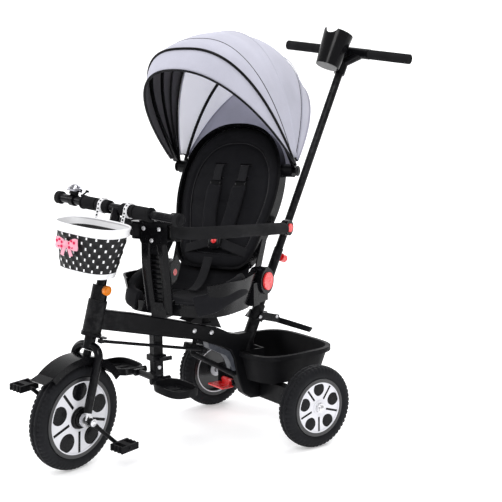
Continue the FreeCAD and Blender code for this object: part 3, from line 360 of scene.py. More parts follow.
def grid(name, rows, materials, around=False, capped=False, indices=None):
    """A surface over rows of points. around joins each row's ends, capped closes both last rows."""
    count = len(rows[0])
    points = [p for row in rows for p in row]
    faces = []
    kinds = []
    for r in range(len(rows) - 1):
        for c in range(count if around else count - 1):
            d = (c + 1) % count
            faces.append((r * count + c, r * count + d, (r + 1) * count + d, (r + 1) * count + c))
            kinds.append(indices(r, c) if indices else 0)
    if capped:
        faces.append(tuple(reversed(range(count))))
        faces.append(tuple((len(rows) - 1) * count + c for c in range(count)))
        kinds += [0, 0]
    return new_mesh(name, points, faces, materials, indices=kinds)


def mend_normals(made):
    """Turn every face of a closed piece outward."""
    work = bmesh.new()
    work.from_mesh(made.data)
    bmesh.ops.recalc_face_normals(work, faces=work.faces)
    work.to_mesh(made.data)
    work.free()


def sweep(name, path, shape, material, closed=False, normals=None):
    """A section swept along a path. shape is (side, up) offsets in metres."""
    rows = []
    total = len(path)
    up = None
    for i, point in enumerate(path):
        before = path[(i - 1) % total] if closed or i else path[0]
        after = path[(i + 1) % total] if closed or i < total - 1 else path[-1]
        way = (after - before).normalized()
        if normals:
            up = normals[i]
        elif up is None:
            up = Z if abs(way.z) < 0.9 else X
        side = way.cross(up).normalized()
        up = side.cross(way).normalized()
        rows.append([point + side * a + up * b for a, b in shape])
    if closed:
        rows.append(rows[0])
    made = grid(name, rows, [material], around=True, capped=not closed)
    mend_normals(made)
    return made


def bulge(value, power):
    """A power that keeps the sign, which squares off a circle's sine and cosine."""
    return math.copysign(abs(value) ** power, value)


def circle(radius, sides=10):
    return [(radius * math.cos(2 * math.pi * k / sides), radius * math.sin(2 * math.pi * k / sides))
            for k in range(sides)]


def flat_oval(width, thick, sides=14):
    """The section of a strap: wide, thin, with rounded edges."""
    out = []
    for k in range(sides):
        a = 2 * math.pi * k / sides
        out.append((bulge(math.cos(a), 0.4) * width / 2, bulge(math.sin(a), 0.7) * thick / 2))
    return out


def curve_points(points, steps=12):
    """A smooth Catmull-Rom line through the points."""
    out = []
    last = len(points) - 1
    for i in range(last):
        p0, p1, p2, p3 = (points[max(0, min(last, i + k))] for k in (-1, 0, 1, 2))
        for k in range(steps):
            t = k / steps
            out.append(0.5 * (2 * p1 + (p2 - p0) * t + (2 * p0 - 5 * p1 + 4 * p2 - p3) * t * t
                              + (3 * p1 - p0 - 3 * p2 + p3) * t ** 3))
    out.append(points[-1])
    return out


def dome(name, foot, axis, radius, height, material, sides=40, bead=True):
    """A turned cap on a foot disc: rim, rounded crown, and a shallow ring groove."""
    side = axis.orthogonal().normalized()
    other = axis.cross(side)
    profile = [(0.86, 0.0), (1.0, 0.0), (1.0, 0.30)]
    profile += [(0.97, 0.42), (0.90, 0.52)]
    if bead:
        profile += [(0.80, 0.56), (0.76, 0.50), (0.70, 0.56)]
    profile += [(0.62, 0.74), (0.50, 0.86), (0.34, 0.95), (0.16, 0.99), (0.02, 1.0)]
    rows = []
    for r, h in profile:
        rows.append([foot + axis * (h * height) + (side * math.cos(a) + other * math.sin(a)) * (r * radius)
                     for a in (2 * math.pi * k / sides for k in range(sides))])
    made = grid(name, rows, [material], around=True, capped=True)
    mend_normals(made)
    return made


def superoval(half_u, half_v, power, angle):
    return bulge(math.cos(angle), 2 / power) * half_u, bulge(math.sin(angle), 2 / power) * half_v


# -------------------- CAD nodes' own materials
def dress_nodes():
    """Give each CAD node the look of its slot, and the rims and the bell their own."""
    for part in frame["record"]["subparts"]:
        look = LOOKS.get(part["material_slot"])
        if look:
            nodes[part["node"]].data.materials.clear()
            nodes[part["node"]].data.materials.append(look)
    spin = {"front_rim": "front_wheel_spin", "rear_rim_left": "rear_left_spin",
            "rear_rim_right": "rear_right_spin"}
    for node, name in spin.items():
        radius = FRONT_R if node == "front_rim" else REAR_R
        face = (radius - RIM_INSET) * 0.995 / 1000
        look = rim_look("wheel_face_" + node, joint[name]["pos_m"], joint[name]["axis"], face,
                        0.30 if node == "front_rim" else 0.10, (0.74, 0.74, 0.78))
        nodes[node].data.materials.clear()
        nodes[node].data.materials.append(look)
    nodes["bell_dome"].data.materials.clear()
    nodes["bell_dome"].data.materials.append(CHROME)


# -------------------- canopy
def blend_bow(bows, theta):
    """Half width, height and power of the canopy at an angle, smoothly between its bows."""
    last = len(bows) - 1
    for i in range(last):
        if theta <= bows[i + 1][0] or i == last - 1:
            t = (theta - bows[i][0]) / (bows[i + 1][0] - bows[i][0])
            t = max(0.0, min(1.0, t))
            ends = [bows[max(0, min(last, i + k))] for k in (-1, 0, 1, 2)]
            out = []
            for n in (1, 2, 3):
                a, b, c, d = (e[n] for e in ends)
                out.append(0.5 * (2 * b + (c - a) * t + (2 * a - 5 * b + 4 * c - d) * t * t
                                  + (3 * b - a - 3 * c + d) * t ** 3))
            return out


def bow_point(theta, width, height, power, angle):
    """A point of one bow, which stands theta degrees back from upright."""
    way = math.radians(theta)
    across = bulge(math.cos(angle), 2 / power) * width
    rise = abs(math.sin(angle)) ** (2 / power) * height
    return seat_point(across, HUB_V + rise * math.sin(way), HUB_Z + rise * math.cos(way))


def low_angle(height, power, low):
    """Where a bow passes the height low above the hub."""
    return math.asin(min(1.0, (low / height)) ** (power / 2))


def bow_line(bows, theta, inset, low, count=56):
    width, height, power = blend_bow(bows, theta)
    start = low_angle(height, power, low)
    angles = [start + (math.pi - 2 * start) * k / count for k in range(count + 1)]
    return [bow_point(theta, width - inset, height - inset, power, angle) for angle in angles]


def canopy_sheet(name, bows, taut, low, lining):
    """One continuous curved sheet, which sinks a little between the bows that hold it up."""
    first, final = bows[0][0], bows[-1][0]
    steps = 30
    rows = []
    for r in range(steps + 1):
        theta = first + (final - first) * r / steps
        near = min(abs(theta - t) for t in taut)
        rows.append(bow_line(bows, theta, 0.4 + 2.6 * min(1.0, near / 9.0) ** 2, low))
    made = grid(name, rows, [LOOKS["canopy_fabric"], lining])
    area = sum(face.area for face in made.data.polygons)
    return made, area, rows


def thicken(made, thickness):
    solid = made.modifiers.new("cloth", "SOLIDIFY")
    solid.thickness = thickness
    solid.offset = -1
    solid.material_offset = 1


def face_outward(made, centre):
    """Turn the faces so that they look away from the centre."""
    face = made.data.polygons[len(made.data.polygons) // 2]
    if face.normal.dot(face.center - centre) < 0:
        made.data.flip_normals()


def curtain():
    """The cloth that closes the canopy behind, from its last bow down to the seat back."""
    width, height, power = CANOPY_REAR[-1][1:]
    start = low_angle(height, power, 40)
    rows = []
    for k in range(49):
        angle = start + (math.pi - 2 * start) * k / 48
        top = bow_point(CANOPY_REAR[-1][0], width - 3, height - 3, power, angle)
        foot = back_point(262 + 138 * math.sin(angle), 5, 140 * math.cos(angle))
        push = (back_point(0, 1, 0) - back_point(0, 0, 0)).normalized()
        rows.append([top.lerp(foot, n / 12) + push * (0.006 * math.sin(math.pi * n / 12))
                     for n in range(13)])
    sheet = grid("canopy_curtain", rows, [LOOKS["canopy_fabric"], PALE_LINING_PAINTED_GLOW])
    face_outward(sheet, seat_point(0, HUB_V, HUB_Z))
    thicken(sheet, CURTAIN_CLOTH)
    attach(sheet, "back")


def canopy():
    middle = seat_point(0, HUB_V, HUB_Z)
    hem_looks = {CANOPY_FRONT[0][0]: BINDING, CANOPY_REAR[-1][0]: SEAM}
    plan = (
        ("canopy_hood_rear", "canopy_rear", "back", CANOPY_REAR, (-10, 45),
         (28,), (28,), PALE_LINING_PAINTED_GLOW),
        ("canopy_hood_front", "canopy_front", "canopy", CANOPY_FRONT, (-48, -38, -6),
         (-38, -28, -19, -10), (), LINING),
    )
    for name, node, body, bows, taut, ribs, seams, lining in plan:
        sheet, area, rows = canopy_sheet(name, bows, taut, HOOD_LOW, lining)
        face_outward(sheet, middle)
        thicken(sheet, HOOD_CLOTH)
        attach(sheet, body)
        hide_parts(node)
        across = sum((b - a).length for a, b in zip(rows[15], rows[15][1:]))
        trims = []
        for theta in (bows[0][0], bows[-1][0]):
            edge = bow_line(bows, theta, 1.0, HOOD_LOW)
            tag = "front" if theta == bows[0][0] else "rear"
            look = hem_looks.get(theta, LOOKS["canopy_fabric"])
            trims.append(sweep(name + "_hem_" + tag, edge, flat_oval(0.007, 0.0030), look))
        for number, theta in enumerate(ribs):
            inner = bow_line(bows, theta, 7.4, 2, 64)
            rib = sweep(name + "_rib_" + str(number), inner, flat_oval(0.010, 0.0045),
                        LOOKS["black_plastic"])
            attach(rib, body)
        for side in (0, -1):
            line = [row[side] for row in rows]
            trims.append(sweep(name + "_side_hem_" + ("left" if side == 0 else "right"), line,
                               flat_oval(0.0055, 0.0034), BINDING))
        for seam in seams:
            outer = bow_line(bows, seam, -0.2, 36)
            stitch = sweep(name + "_seam_" + str(abs(seam)), outer, flat_oval(0.0020, 0.0010), SEAM)
            trims.append(stitch)
        for trim in trims:
            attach(trim, body)
    curtain()
    band_line = bow_line(CANOPY_FRONT, -38, -0.6, 20)
    band = sweep("canopy_front_band", band_line, flat_oval(0.0085, 0.0055), LOOKS["black_plastic"])
    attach(band, "canopy")
    for side, tag in SIDES:
        foot = seat_point(side * 184, HUB_V, HUB_Z)
        out = seat_point(side * 192, HUB_V, HUB_Z) - foot
        cap = dome("canopy_hub_cap_" + tag, foot, out.normalized(), 0.0135, 0.0040, LOOKS["black_plastic"])
        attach(cap, "back")


# -------------------- seat back
BACK_SHAPE = [(0, 14), (52, 15), (92, 24), (114, 52), (128, 104), (146, 180), (151, 250), (138, 322),
              (100, 380), (50, 408), (0, 414)]
BACK_MIDDLE = 215


def back_ring(scale_in, count=96):
    """Points (across, along) of the back's outline, drawn in by so many millimetres."""
    shape = [Vector((a, b, 0)) for a, b in BACK_SHAPE]
    shape += [Vector((-a, b, 0)) for a, b in reversed(BACK_SHAPE[1:-1])]
    ring = shape[-2:] + shape + shape[:3]
    dense = curve_points(ring, 12)[24:24 + 12 * len(shape)]
    out = []
    for k in range(count):
        p = dense[int(k * len(dense) / count)]
        reach = math.hypot(p.x, p.y - BACK_MIDDLE)
        scale = (reach - scale_in) / reach
        out.append((p.x * scale, BACK_MIDDLE + (p.y - BACK_MIDDLE) * scale))
    return out


def shaped_pad(name, outline, height, place, rings=26):
    """A closed cushion: rings from its edge to its middle, crowned by height(t, x, y)."""
    cx = sum(p[0] for p in outline) / len(outline)
    cy = sum(p[1] for p in outline) / len(outline)
    rows = [[place(x, y, 0) for x, y in outline]]
    for r in range(rings + 1):
        t = 1 - r / (rings + 0.4)
        ring = [(cx + (x - cx) * t, cy + (y - cy) * t) for x, y in outline]
        rows.append([place(x, y, height(t, x, y)) for x, y in ring])
    made = grid(name, rows, [LOOKS["black_fabric"]], around=True, capped=True)
    mend_normals(made)
    return made


SEAM_T = 0.80


def back_height(t, x, y):
    """How far the back cushion stands forward: a bolster round a crowned, channelled panel."""
    if t > SEAM_T:
        u = (t - SEAM_T) / (1 - SEAM_T)
        return 9 + 13 * math.sqrt(max(0.0, 1 - (2 * u - 1) ** 2)) * (1 - 0.3 * u)
    panel = 14 + 5 * (1 - (t / SEAM_T) ** 2)
    for line in (118, 196, 274):
        panel -= 3.4 * math.exp(-((y - line) / 5.0) ** 2)
    return panel - 5 * math.exp(-((t - SEAM_T) / 0.03) ** 2)


def seat_back():
    """The back's cushion with its piping and the slots for the straps."""
    outline = back_ring(9)
    def place(x, y, h):
        return back_point(y, 1.5 - h, x)
    pad = shaped_pad("back_cushion", outline, back_height, place, rings=34)
    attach(pad, "back")
    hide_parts("seat_back_pad")
    cx = sum(p[0] for p in outline) / len(outline)
    cy = sum(p[1] for p in outline) / len(outline)
    inner = [place(cx + (x - cx) * SEAM_T, cy + (y - cy) * SEAM_T, 12.5) for x, y in outline]
    outer = [back_point(y, -6, x) for x, y in back_ring(4.5)]
    for name, line, radius in (("back_inner_piping", inner, 0.0013), ("back_edge_piping", outer, 0.0022)):
        piece = sweep(name, line, circle(radius, 8), PIPING, closed=True)
        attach(piece, "back")
    for side, tag in SIDES:
        for along in (300, 262):
            slot_line = [back_point(along, -18.8 + 0.02 * abs(x), side * 38 + x) for x in range(-17, 18, 2)]
            slot = sweep("strap_slot_" + tag + "_" + str(along), slot_line, flat_oval(0.007, 0.0022),
                         LOOKS["black_plastic"],
                         normals=[back_point(0, -1, 0) - back_point(0, 0, 0)] * len(slot_line))
            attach(slot, "back")


def liner_apron():
    """The cloth that joins the back cushion to the seat cushion."""
    rows = []
    for k in range(25):
        across = -104 + 208 * k / 24
        edge = abs(across) / 104
        line = curve_points([back_point(66, -7, across), back_point(40, -9 - 3 * (1 - edge ** 2), across),
                             back_point(14, -7, across), seat_point(across, 48, 402),
                             seat_point(across, 26, 393), seat_point(across, 4, 388)], 6)
        rows.append([p + Vector((0, 0, 0.0012 * math.sin(9 * edge + 2.2 * n))) for n, p in enumerate(line)])
    made = grid("liner_apron", rows, [LOOKS["black_fabric"], LOOKS["black_fabric"]])
    thicken(made, APRON_CLOTH)
    tuple(back_point(30, -8, 0))
    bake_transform(made)


def harness():
    """Shoulder straps with pads and adjusters, waist straps, and the buckle they meet in."""
    normal = (back_point(0, -1, 0) - back_point(0, 0, 0)).normalized()
    pieces = []
    def ribbon(name, stations, width, thick, look):
        line = curve_points([back_point(*s) for s in stations], 10)
        made = sweep(name, line, flat_oval(width, thick), look, normals=[normal] * len(line))
        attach(made, "back")
        pieces.append(made)
        return made
    for side, tag in SIDES:
        ribbon("shoulder_strap_" + tag,
               [(300, -16, side * 38), (292, -23, side * 38), (250, -24.5, side * 38),
                (160, -25, side * 33), (100, -25, side * 20), (86, -27, side * 10)],
               0.024, 0.0018, WEBBING)
        pad = ribbon("shoulder_pad_" + tag,
                     [(232, -26, side * 37), (226, -29, side * 37), (170, -30.5, side * 34),
                      (122, -29, side * 27), (116, -26, side * 26)],
                     0.040, 0.0095, LOOKS["black_fabric"])
        ribbon("waist_strap_" + tag,
               [(84, -27, side * 14), (76, -27, side * 40), (66, -22, side * 78), (62, -14, side * 100)],
               0.024, 0.0018, WEBBING)
        ribbon("strap_adjuster_" + tag,
               [(252, -27, side * 38), (246, -27.6, side * 38), (240, -27, side * 38)],
               0.032, 0.004, LOOKS["black_plastic"])
    outline = [superoval(20, 23, 3.2, 2 * math.pi * k / 40) for k in range(40)]
    def place(x, y, h):
        return back_point(86 + y, -25 - h, x)
    def crown(t, x, y):
        return 9 + 3 * (1 - t * t) - (1.2 if 0.55 < t < 0.62 else 0) - (2.0 if t > 0.93 else 0)
    buckle = shaped_pad("buckle", outline, crown, place, rings=16)
    buckle.data.materials[0] = LOOKS["black_plastic"]
    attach(buckle, "back")
    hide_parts("harness")
    press = dome("buckle_button", back_point(86, -36, 0), normal, 0.008, 0.003, LOOKS["red_plastic"])
    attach(press, "back")


# -------------------- seat
def seat_cushion():
    """The seat's cushion, bolsters and crotch strap, and the guard post's rails, screws and ribs."""
    outline = []
    for k in range(80):
        u, v = superoval(128, 85, 3.4, 2 * math.pi * k / 80)
        outline.append((u, v - 54))
    def height(t, x, y):
        if t > 0.82:
            w = (t - 0.82) / 0.18
            return 12 + 10 * math.sqrt(max(0.0, 1 - w * w))
        front = max(0.0, min(1.0, (-y - 60) / 70))
        pommel = 9 * math.exp(-(x / 26) ** 2) * front
        seam = 3.5 * math.exp(-((t - 0.80) / 0.03) ** 2)
        channel = 2.6 * math.exp(-((abs(x) - 52) / 4.5) ** 2)
        return 22 + 5 * (1 - t * t) + pommel - seam - channel
    def place(x, y, h):
        return seat_point(x, y, 364 + h)
    pad = shaped_pad("seat_cushion", outline, height, place, rings=30)
    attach(pad, "seat")
    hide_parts("seat_pad")
    for side, tag in SIDES:
        line = curve_points([seat_point(side * 84, -150, 384), seat_point(side * 122, -134, 396),
                             seat_point(side * 139, -88, 414), seat_point(side * 138, -34, 420),
                             seat_point(side * 124, 4, 420)], 12)
        bolster = sweep("side_bolster_" + tag, line, flat_oval(0.022, 0.050, 18), LOOKS["black_fabric"])
        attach(bolster, "seat")
    crotch = curve_points([seat_point(0, -40, 397), seat_point(0, -16, 404), seat_point(0, 8, 420),
                           seat_point(0, 28, 446), seat_point(0, 42, 470)], 8)
    strap = sweep("crotch_strap", crotch, flat_oval(0.026, 0.002), WEBBING,
                  normals=[seat_point(0, -1, 1) - seat_point(0, 0, 0)] * len(crotch))
    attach(strap, "seat")
    for side, tag in SIDES:
        line = curve_points([seat_point(side * 22, -180, 368), seat_point(side * 25, -184, 410),
                             seat_point(side * 26, -193, 480), seat_point(side * 22, -199, 540)], 10)
        rail = sweep("post_rail_" + tag, line, flat_oval(0.012, 0.026, 18), LOOKS["black_plastic"],
                     normals=[seat_point(1, 0, 0) - seat_point(0, 0, 0)] * len(line))
        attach(rail, "seat")
    way = (seat_point(0, -1, 0) - seat_point(0, 0, 0)).normalized()
    for tag, u, z in (("576_r", -22, 576), ("576_l", 22, 576), ("548_l", 0, 548)):
        screw = dome("plate_screw_" + tag, seat_point(u, -208.6, z), way, 0.0052, 0.0022, LOOKS["steel"])
        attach(screw, "seat")
    for step in range(9):
        z = 402 + step * 12
        v = -176.4 - (z - 366) * 20 / 164 + 0.2
        half = 14 + (z - 366) * 6 / 164 - 3
        rib = sweep("post_rib_" + str(step), [seat_point(x, v, z) for x in (-half, 0, half)],
                    flat_oval(0.004, 0.003, 10), LOOKS["matte_plastic"])
        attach(rib, "seat")


# -------------------- wheels
def tyre(name, node, body, centre, axis, radius, blocks):
    """A tyre with a ribbed middle and so many cut blocks on its shoulders."""
    side = axis.orthogonal().normalized()
    other = axis.cross(side).normalized()
    half = TYRE_W / 2
    inner = radius - 30.8
    profile = [(-half + 4, inner), (-half + 1.2, inner + 4), (-half, inner + 9), (-half + 0.6, radius - 14),
               (-half + 2.6, radius - 8), (-half + 6.5, radius - 3.6), (-half + 9, radius - 2.0),
               (-half + 10, radius - 4.2), (-half + 12, radius - 4.2), (-half + 13, radius - 0.9),
               (-4, radius - 0.2), (-3, radius - 2.8), (-1.2, radius - 2.8), (0, radius)]
    mirrored = [(-a, r) for a, r in reversed(profile[:-1])]
    section = profile + mirrored
    count = blocks * 4
    rows = []
    for k in range(count):
        a = 2 * math.pi * k / count
        out = side * math.cos(a) + other * math.sin(a)
        groove = k % 4 == 0
        row = []
        for w, r in section:
            cut = 0.0
            if groove and abs(w) > 11 and r > radius - 10:
                cut = 3.4
            if groove and abs(w) <= 11 and (k // 4) % 2 == 0:
                cut = 1.6
            row.append(centre + axis * (w / 1000) + out * ((r - cut) / 1000))
        rows.append(row)
    rows.append(rows[0])
    made = grid(name, rows, [LOOKS["rubber_tyre"]])
    mend_normals(made)
    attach(made, body)
    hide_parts(node)


def face_pieces(tag, body, centre, out, turn, radius):
    """The dark hollows and slots of a wheel face, just proud of the face itself."""
    face = radius - RIM_INSET / 1000
    hollow_foot, slot_foot = out * (FACE_OUT / 1000), out * ((FACE_OUT + 0.1) / 1000)
    for step in range(5):
        way = math.radians(90 + 72 * step)
        along = turn @ Vector((0, math.cos(way), math.sin(way)))
        foot = centre + along * (face * 0.735) + hollow_foot
        piece = dome("face_hollow_" + tag + str(step), foot, out, face * 0.255, 0.0007, HOLLOW, sides=36)
        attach(piece, body)
        way = math.radians(126 + 72 * step)
        along = turn @ Vector((0, math.cos(way), math.sin(way)))
        line = [centre + along * (face * (0.38 + 0.61 * k / 6)) + slot_foot for k in range(7)]
        slot = sweep("face_slot_" + tag + str(step), line, flat_oval(face * 0.078, 0.0008), HOLLOW,
                     normals=[out] * len(line))
        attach(slot, body)


def wheels():
    """The tyres, the marks on the wheels' faces, and the hubs and nuts."""
    front = Vector(joint["front_wheel_spin"]["pos_m"])
    front_axis = Vector(joint["front_wheel_spin"]["axis"])
    tyre("tyre_front", "front_tyre", "front_wheel", front, front_axis, FRONT_R, 66)
    for tag, body in (("left", "wheel_left"), ("right", "wheel_right")):
        centre = Vector(joint["rear_" + tag + "_spin"]["pos_m"])
        tyre("tyre_rear_" + tag, "rear_tyre_" + tag, body, centre, X.copy(), REAR_R, 54)
        out = X if tag == "left" else -X
        hub = dome("rear_hub_" + tag, centre + out * 0.0205, out, 0.0125, 0.0036, LOOKS["steel"])
        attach(hub, body)
        nut = dome("rear_nut_" + tag, centre + out * 0.0268, out, 0.0085, 0.0058, LOOKS["steel"],
                   sides=6, bead=False)
        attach(nut, "frame")
        face_pieces(tag, body, centre, out, Matrix.Identity(3), REAR_R / 1000)
    for side, tag in SIDES:
        out = front_axis * side
        hub = dome("front_hub_" + tag, front + out * 0.0205, out, 0.026, 0.0100, LOOKS["black_plastic"])
        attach(hub, "front_wheel")
        face_pieces("front_" + tag, "front_wheel", front, out, STEER_TURN, FRONT_R / 1000)
        boss = dome("crank_boss_" + tag, front + out * 0.0660, out, 0.0095, 0.0030, LOOKS["steel"])
        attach(boss, "crankset")


# -------------------- basket
def basket_point(angle, z, grow):
    """A point of the tapering wall, grown outward by so many millimetres."""
    scale = 0.74 + (0.965 - 0.74) * (z + BASKET_DEPTH) / (BASKET_DEPTH - 18)
    u, v = superoval(BASKET_U * scale + grow, BASKET_V * scale + grow, 2.8, angle)
    return basket_place(Vector((u, v + BASKET_RAKE * z / BASKET_DEPTH, z)))


def even_angles(columns):
    """Angles that space the weave's columns evenly round the basket."""
    fine = [2 * math.pi * k / 1440 for k in range(1441)]
    spots = [Vector((*superoval(BASKET_U, BASKET_V, 2.8, a), 0)) for a in fine]
    run = [0.0]
    for a, b in zip(spots, spots[1:]):
        run.append(run[-1] + (b - a).length)
    out = []
    at = 0
    for k in range(columns):
        goal = run[-1] * k / columns
        while run[at + 1] < goal:
            at += 1
        out.append(fine[at] + (fine[at + 1] - fine[at]) * (goal - run[at]) / (run[at + 1] - run[at]))
    return out


def basket():
    """The woven wall with white crossings, its floor, and two round beads."""
    columns, rows_of_weave, fine = 36, 8, 6
    angles = even_angles(columns * fine)
    low, high = -BASKET_DEPTH, -17
    outer = []
    levels = rows_of_weave * fine
    for r in range(levels + 1):
        z = low + (high - low) * r / levels
        row = []
        for c, angle in enumerate(angles):
            over = math.sin(math.pi * c / fine) * math.sin(math.pi * r / fine)
            row.append(basket_point(angle, z, -1.2 + 1.1 * over))
        outer.append(row)
    inner = [[basket_point(angle, z, -4.2) for angle in angles] for z in (high, low + 4)]
    floor_middle = basket_place(Vector((0, -BASKET_RAKE, low + 4)))
    base_middle = basket_place(Vector((0, -BASKET_RAKE, low)))
    floor_ring = [[basket_point(angle, low + 4, -4.2).lerp(floor_middle, 0.985) for angle in angles]]
    base_ring = [[basket_point(angle, low, -1.2).lerp(base_middle, 0.985) for angle in angles]]
    rows = base_ring + outer + inner + floor_ring
    def kind(r, c):
        if r < 1 or r > levels:
            return 0
        cell_r, cell_c = (r - 1) // fine, c // fine
        if cell_r == 0:
            return 1
        return 1 if (cell_r + cell_c) % 2 == 0 and (r - 1) % fine in (1, 2, 3) and c % fine in (2, 3) else 0
    made = grid("basket_weave", rows, [LOOKS["weave"], LOOKS["white_plastic"]], around=True, capped=True,
                indices=kind)
    mend_normals(made)
    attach(made, "front_end")
    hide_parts("basket_body")
    for z, radius, grow in ((-1.5, 0.0030, -1.5), (-18, 0.0022, 0.6)):
        scale_angles = even_angles(120)
        line = []
        for angle in scale_angles:
            scale = 0.97 + 0.03 * (z + 18) / 18
            u, v = superoval(BASKET_U * scale + grow, BASKET_V * scale + grow, 2.8, angle)
            line.append(basket_place(Vector((u, v + BASKET_RAKE * z / BASKET_DEPTH, z))))
        bead = sweep("basket_bead_" + str(int(-z)), line, circle(radius, 8), LOOKS["white_plastic"],
                     closed=True)
        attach(bead, "front_end")


def bow():
    """A ribbon bow: two puffed loops, a knot and two tails, with printed round dots."""
    knot = Vector((-20, -BASKET_V - 8, -43))
    turn = Matrix.Rotation(math.radians(8), 3, "Z")
    def place(x, y, z):
        return basket_place(knot + turn @ Vector((x * 1.15, y, z * 1.1)))
    pieces = []
    for side, tag in ((-1, "r"), (1, "l")):
        rows = []
        for k in range(15):
            t = k / 14
            reach = 3 + 25 * t
            half = 4 + 9.5 * math.sin(min(1.0, t * 1.15) * math.pi * 0.62)
            puff = 5.0 * math.sin(math.pi * min(1.0, 0.12 + 0.85 * t)) + 0.6
            fold = 0.5 * math.sin(9 * t)
            rows.append([place(side * (reach + 1.5 * math.cos(3 * a)), -2 + math.sin(a) * puff + fold,
                               math.cos(a) * half)
                         for a in (2 * math.pi * n / 20 for n in range(20))])
        made = grid("bow_loop_" + tag, rows, [LOOKS["pink_cloth"]], around=True, capped=True)
        mend_normals(made)
        pieces.append(made)
        tail_line = curve_points([place(side * 1, -1, -2), place(side * 7, -3, -12),
                                  place(side * 12, -2, -26)], 8)
        tail = sweep("bow_tail_" + tag, tail_line, flat_oval(0.010, 0.0014), LOOKS["pink_cloth"],
                     normals=[place(0, -1, 0) - place(0, 0, 0)] * len(tail_line))
        pieces.append(tail)
        for x, z in ((10, 3), (17, -5), (22, 5), (15, 8), (10, -6)):
            foot = place(side * x, -2 - 4.6, z)
            way = (place(0, -1, 0) - place(0, 0, 0)).normalized()
            pieces.append(dome("bow_dot_" + tag + str(x) + ("a" if z > 0 else "b"), foot, way,
                               0.0036, 0.0009, RED_DOT, sides=14, bead=False))
    way = (place(0, -1, 0) - place(0, 0, 0)).normalized()
    middle = dome("bow_knot", place(0, -1, 0), way, 0.0078, 0.0090, LOOKS["pink_cloth"], sides=22)
    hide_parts("basket_bow")
    pieces.append(middle)
    for piece in pieces:
        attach(piece, "front_end")


# -------------------- small fittings
def fittings():
    """Bolt heads, bar ends, the bell, the holes in the basket's straps, and the tub's spring."""
    bolts = ((15, 60, 292, 6), (15, 112, 280, 6), (19, -45, 238, 5), (13, -45, 214, 5),
             (29, 312.4, 295.2, 4.5), (29, 258, 302, 4.5))
    for number, (x, y, z, radius) in enumerate(bolts):
        piece = dome("bolt_" + str(number), metres(Vector((x, y, z))), X, radius / 1000, 0.0032,
                     LOOKS["steel"], sides=24)
        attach(piece, "frame")
    for side, tag in SIDES:
        end = stem_point(BAR_ALONG, 0, side * 205)
        out = (stem_point(0, 0, side) - stem_point(0, 0, 0)).normalized()
        cap = dome("bar_end_" + tag, end - out * 0.001, out, 0.0158, 0.0045, LOOKS["matte_plastic"])
        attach(cap, "front_end")
    bell = dome("bell_chrome", metres(BELL_AT), (STEER_TURN @ STEER_AXIS).normalized(), 0.0192, 0.0185,
                CHROME, sides=48)
    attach(bell, "front_end")
    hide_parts("bell_dome")
    way = (stem_point(0, 1, 0) - stem_point(0, 0, 0)).normalized()
    for side, tag in ((44, "left"), (-44, "right")):
        for number, turn in enumerate((5, 35, 65, 95, 125)):
            line = [stem_point(BAR_ALONG + STRAP_R * math.sin(math.radians(turn + t)),
                               STRAP_R * math.cos(math.radians(turn + t)), side) for t in (-8, 0, 8)]
            dash = sweep("strap_hole_" + tag + str(number), line, flat_oval(0.0052, 0.0008), HOLLOW)
            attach(dash, "front_end")
        top, low = stem_point(BAR_ALONG, STRAP_R - 1.0, side), front_point(Vector((side, -173.6, 585)))
        for number in range(4):
            line = [top.lerp(low, 0.16 + 0.19 * number + t) for t in (0.0, 0.05, 0.10)]
            dash = sweep("strap_slit_" + tag + str(number), line, flat_oval(0.0052, 0.0008), HOLLOW,
                         normals=[way] * 3)
            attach(dash, "front_end")
    spring = []
    for k in range(120):
        a = 2 * math.pi * k / 12
        base = metres(Vector((58, 262 + k * 0.5, 160)))
        spring.append(base + (X * math.cos(a) + Z * math.sin(a)) * 0.006)
    coil = sweep("tub_spring", spring, circle(0.001, 6), LOOKS["steel"])
    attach(coil, "frame")


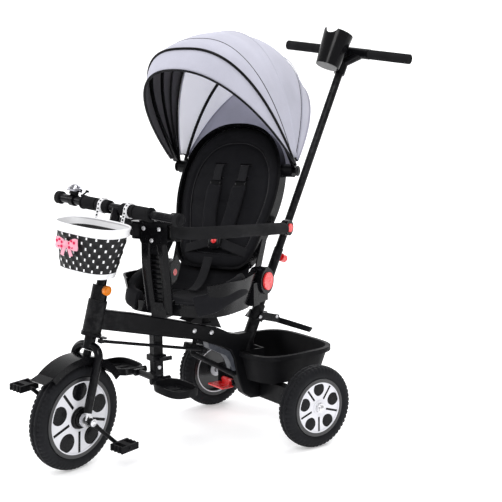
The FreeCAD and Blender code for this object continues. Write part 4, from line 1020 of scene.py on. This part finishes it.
# -------------------- stage, lights and camera
def studio():
    """A pale floor that curves up behind, soft lamps and an even sky."""
    look = Look("pale_floor", (0.93, 0.93, 0.94), 0.6)
    look.raise_by(look.noise(30))
    look.shader.inputs["Emission Color"].default_value = (1.0, 1.0, 1.0, 1)
    look.shader.inputs["Emission Strength"].default_value = FLOOR_GLOW
    white = look.finish(look.blotches(3, 0.01), depth=0.0001, strength=0.1)
    rows = []
    steps = [(-9.0, 0.0), (2.2, 0.0)]
    for k in range(1, 13):
        a = math.pi / 2 * k / 12
        steps.append((2.2 + 2.0 * math.sin(a), 2.0 - 2.0 * math.cos(a)))
    steps.append((4.2, 9.0))
    away = Vector((-math.sin(CAMERA_AZIMUTH), math.cos(CAMERA_AZIMUTH), 0))
    right = Vector((math.cos(CAMERA_AZIMUTH), math.sin(CAMERA_AZIMUTH), 0))
    for far, up in steps:
        rows.append([away * far + right * w + Z * (up - 0.0004) for w in (-10, -5, 0, 5, 10)])
    floor = grid("floor", rows, [white])
    world = bpy.data.worlds.new("studio")
    world.use_nodes = True
    world.node_tree.nodes["Background"].inputs["Color"].default_value = (1.0, 1.0, 1.0, 1)
    world.node_tree.nodes["Background"].inputs["Strength"].default_value = WORLD_LIGHT
    bpy.context.scene.world = world
    bpy.context.scene.view_settings.view_transform = "Standard"
    target = Vector((0, -0.1, 0.5))
    for name, place, size, power in LAMPS:
        data = bpy.data.lights.new(name, "AREA")
        data.size = size
        data.energy = power
        light = bpy.data.objects.new(name, data)
        light.location = place
        light.rotation_euler = (target - Vector(place)).to_track_quat("-Z", "Y").to_euler()
        bpy.context.scene.collection.objects.link(light)


def camera():
    """The camera at the photograph's viewing angle."""
    az, el, roll = CAMERA_AZIMUTH, CAMERA_LIFT, CAMERA_ROLL
    ahead = Vector((-math.sin(az) * math.cos(el), math.cos(az) * math.cos(el), -math.sin(el)))
    right = Vector((math.cos(az), math.sin(az), 0))
    up = right.cross(ahead)
    right, up = right * math.cos(roll) + up * math.sin(roll), up * math.cos(roll) - right * math.sin(roll)
    data = bpy.data.cameras.new("view")
    data.sensor_width = CAMERA_SENSOR
    data.lens = CAMERA_LENS
    data.clip_start = 0.05
    data.clip_end = 60
    made = bpy.data.objects.new("view", data)
    turn = Matrix((right, up, -ahead)).transposed()
    made.matrix_world = Matrix.Translation(metres(CAMERA_AT)) @ turn.to_4x4()
    bpy.context.scene.collection.objects.link(made)
    bpy.context.scene.camera = made


dress_nodes()
canopy()
seat_back()
harness()
seat_cushion()
liner_apron()
wheels()
basket()
bow()
fittings()
studio()
camera()
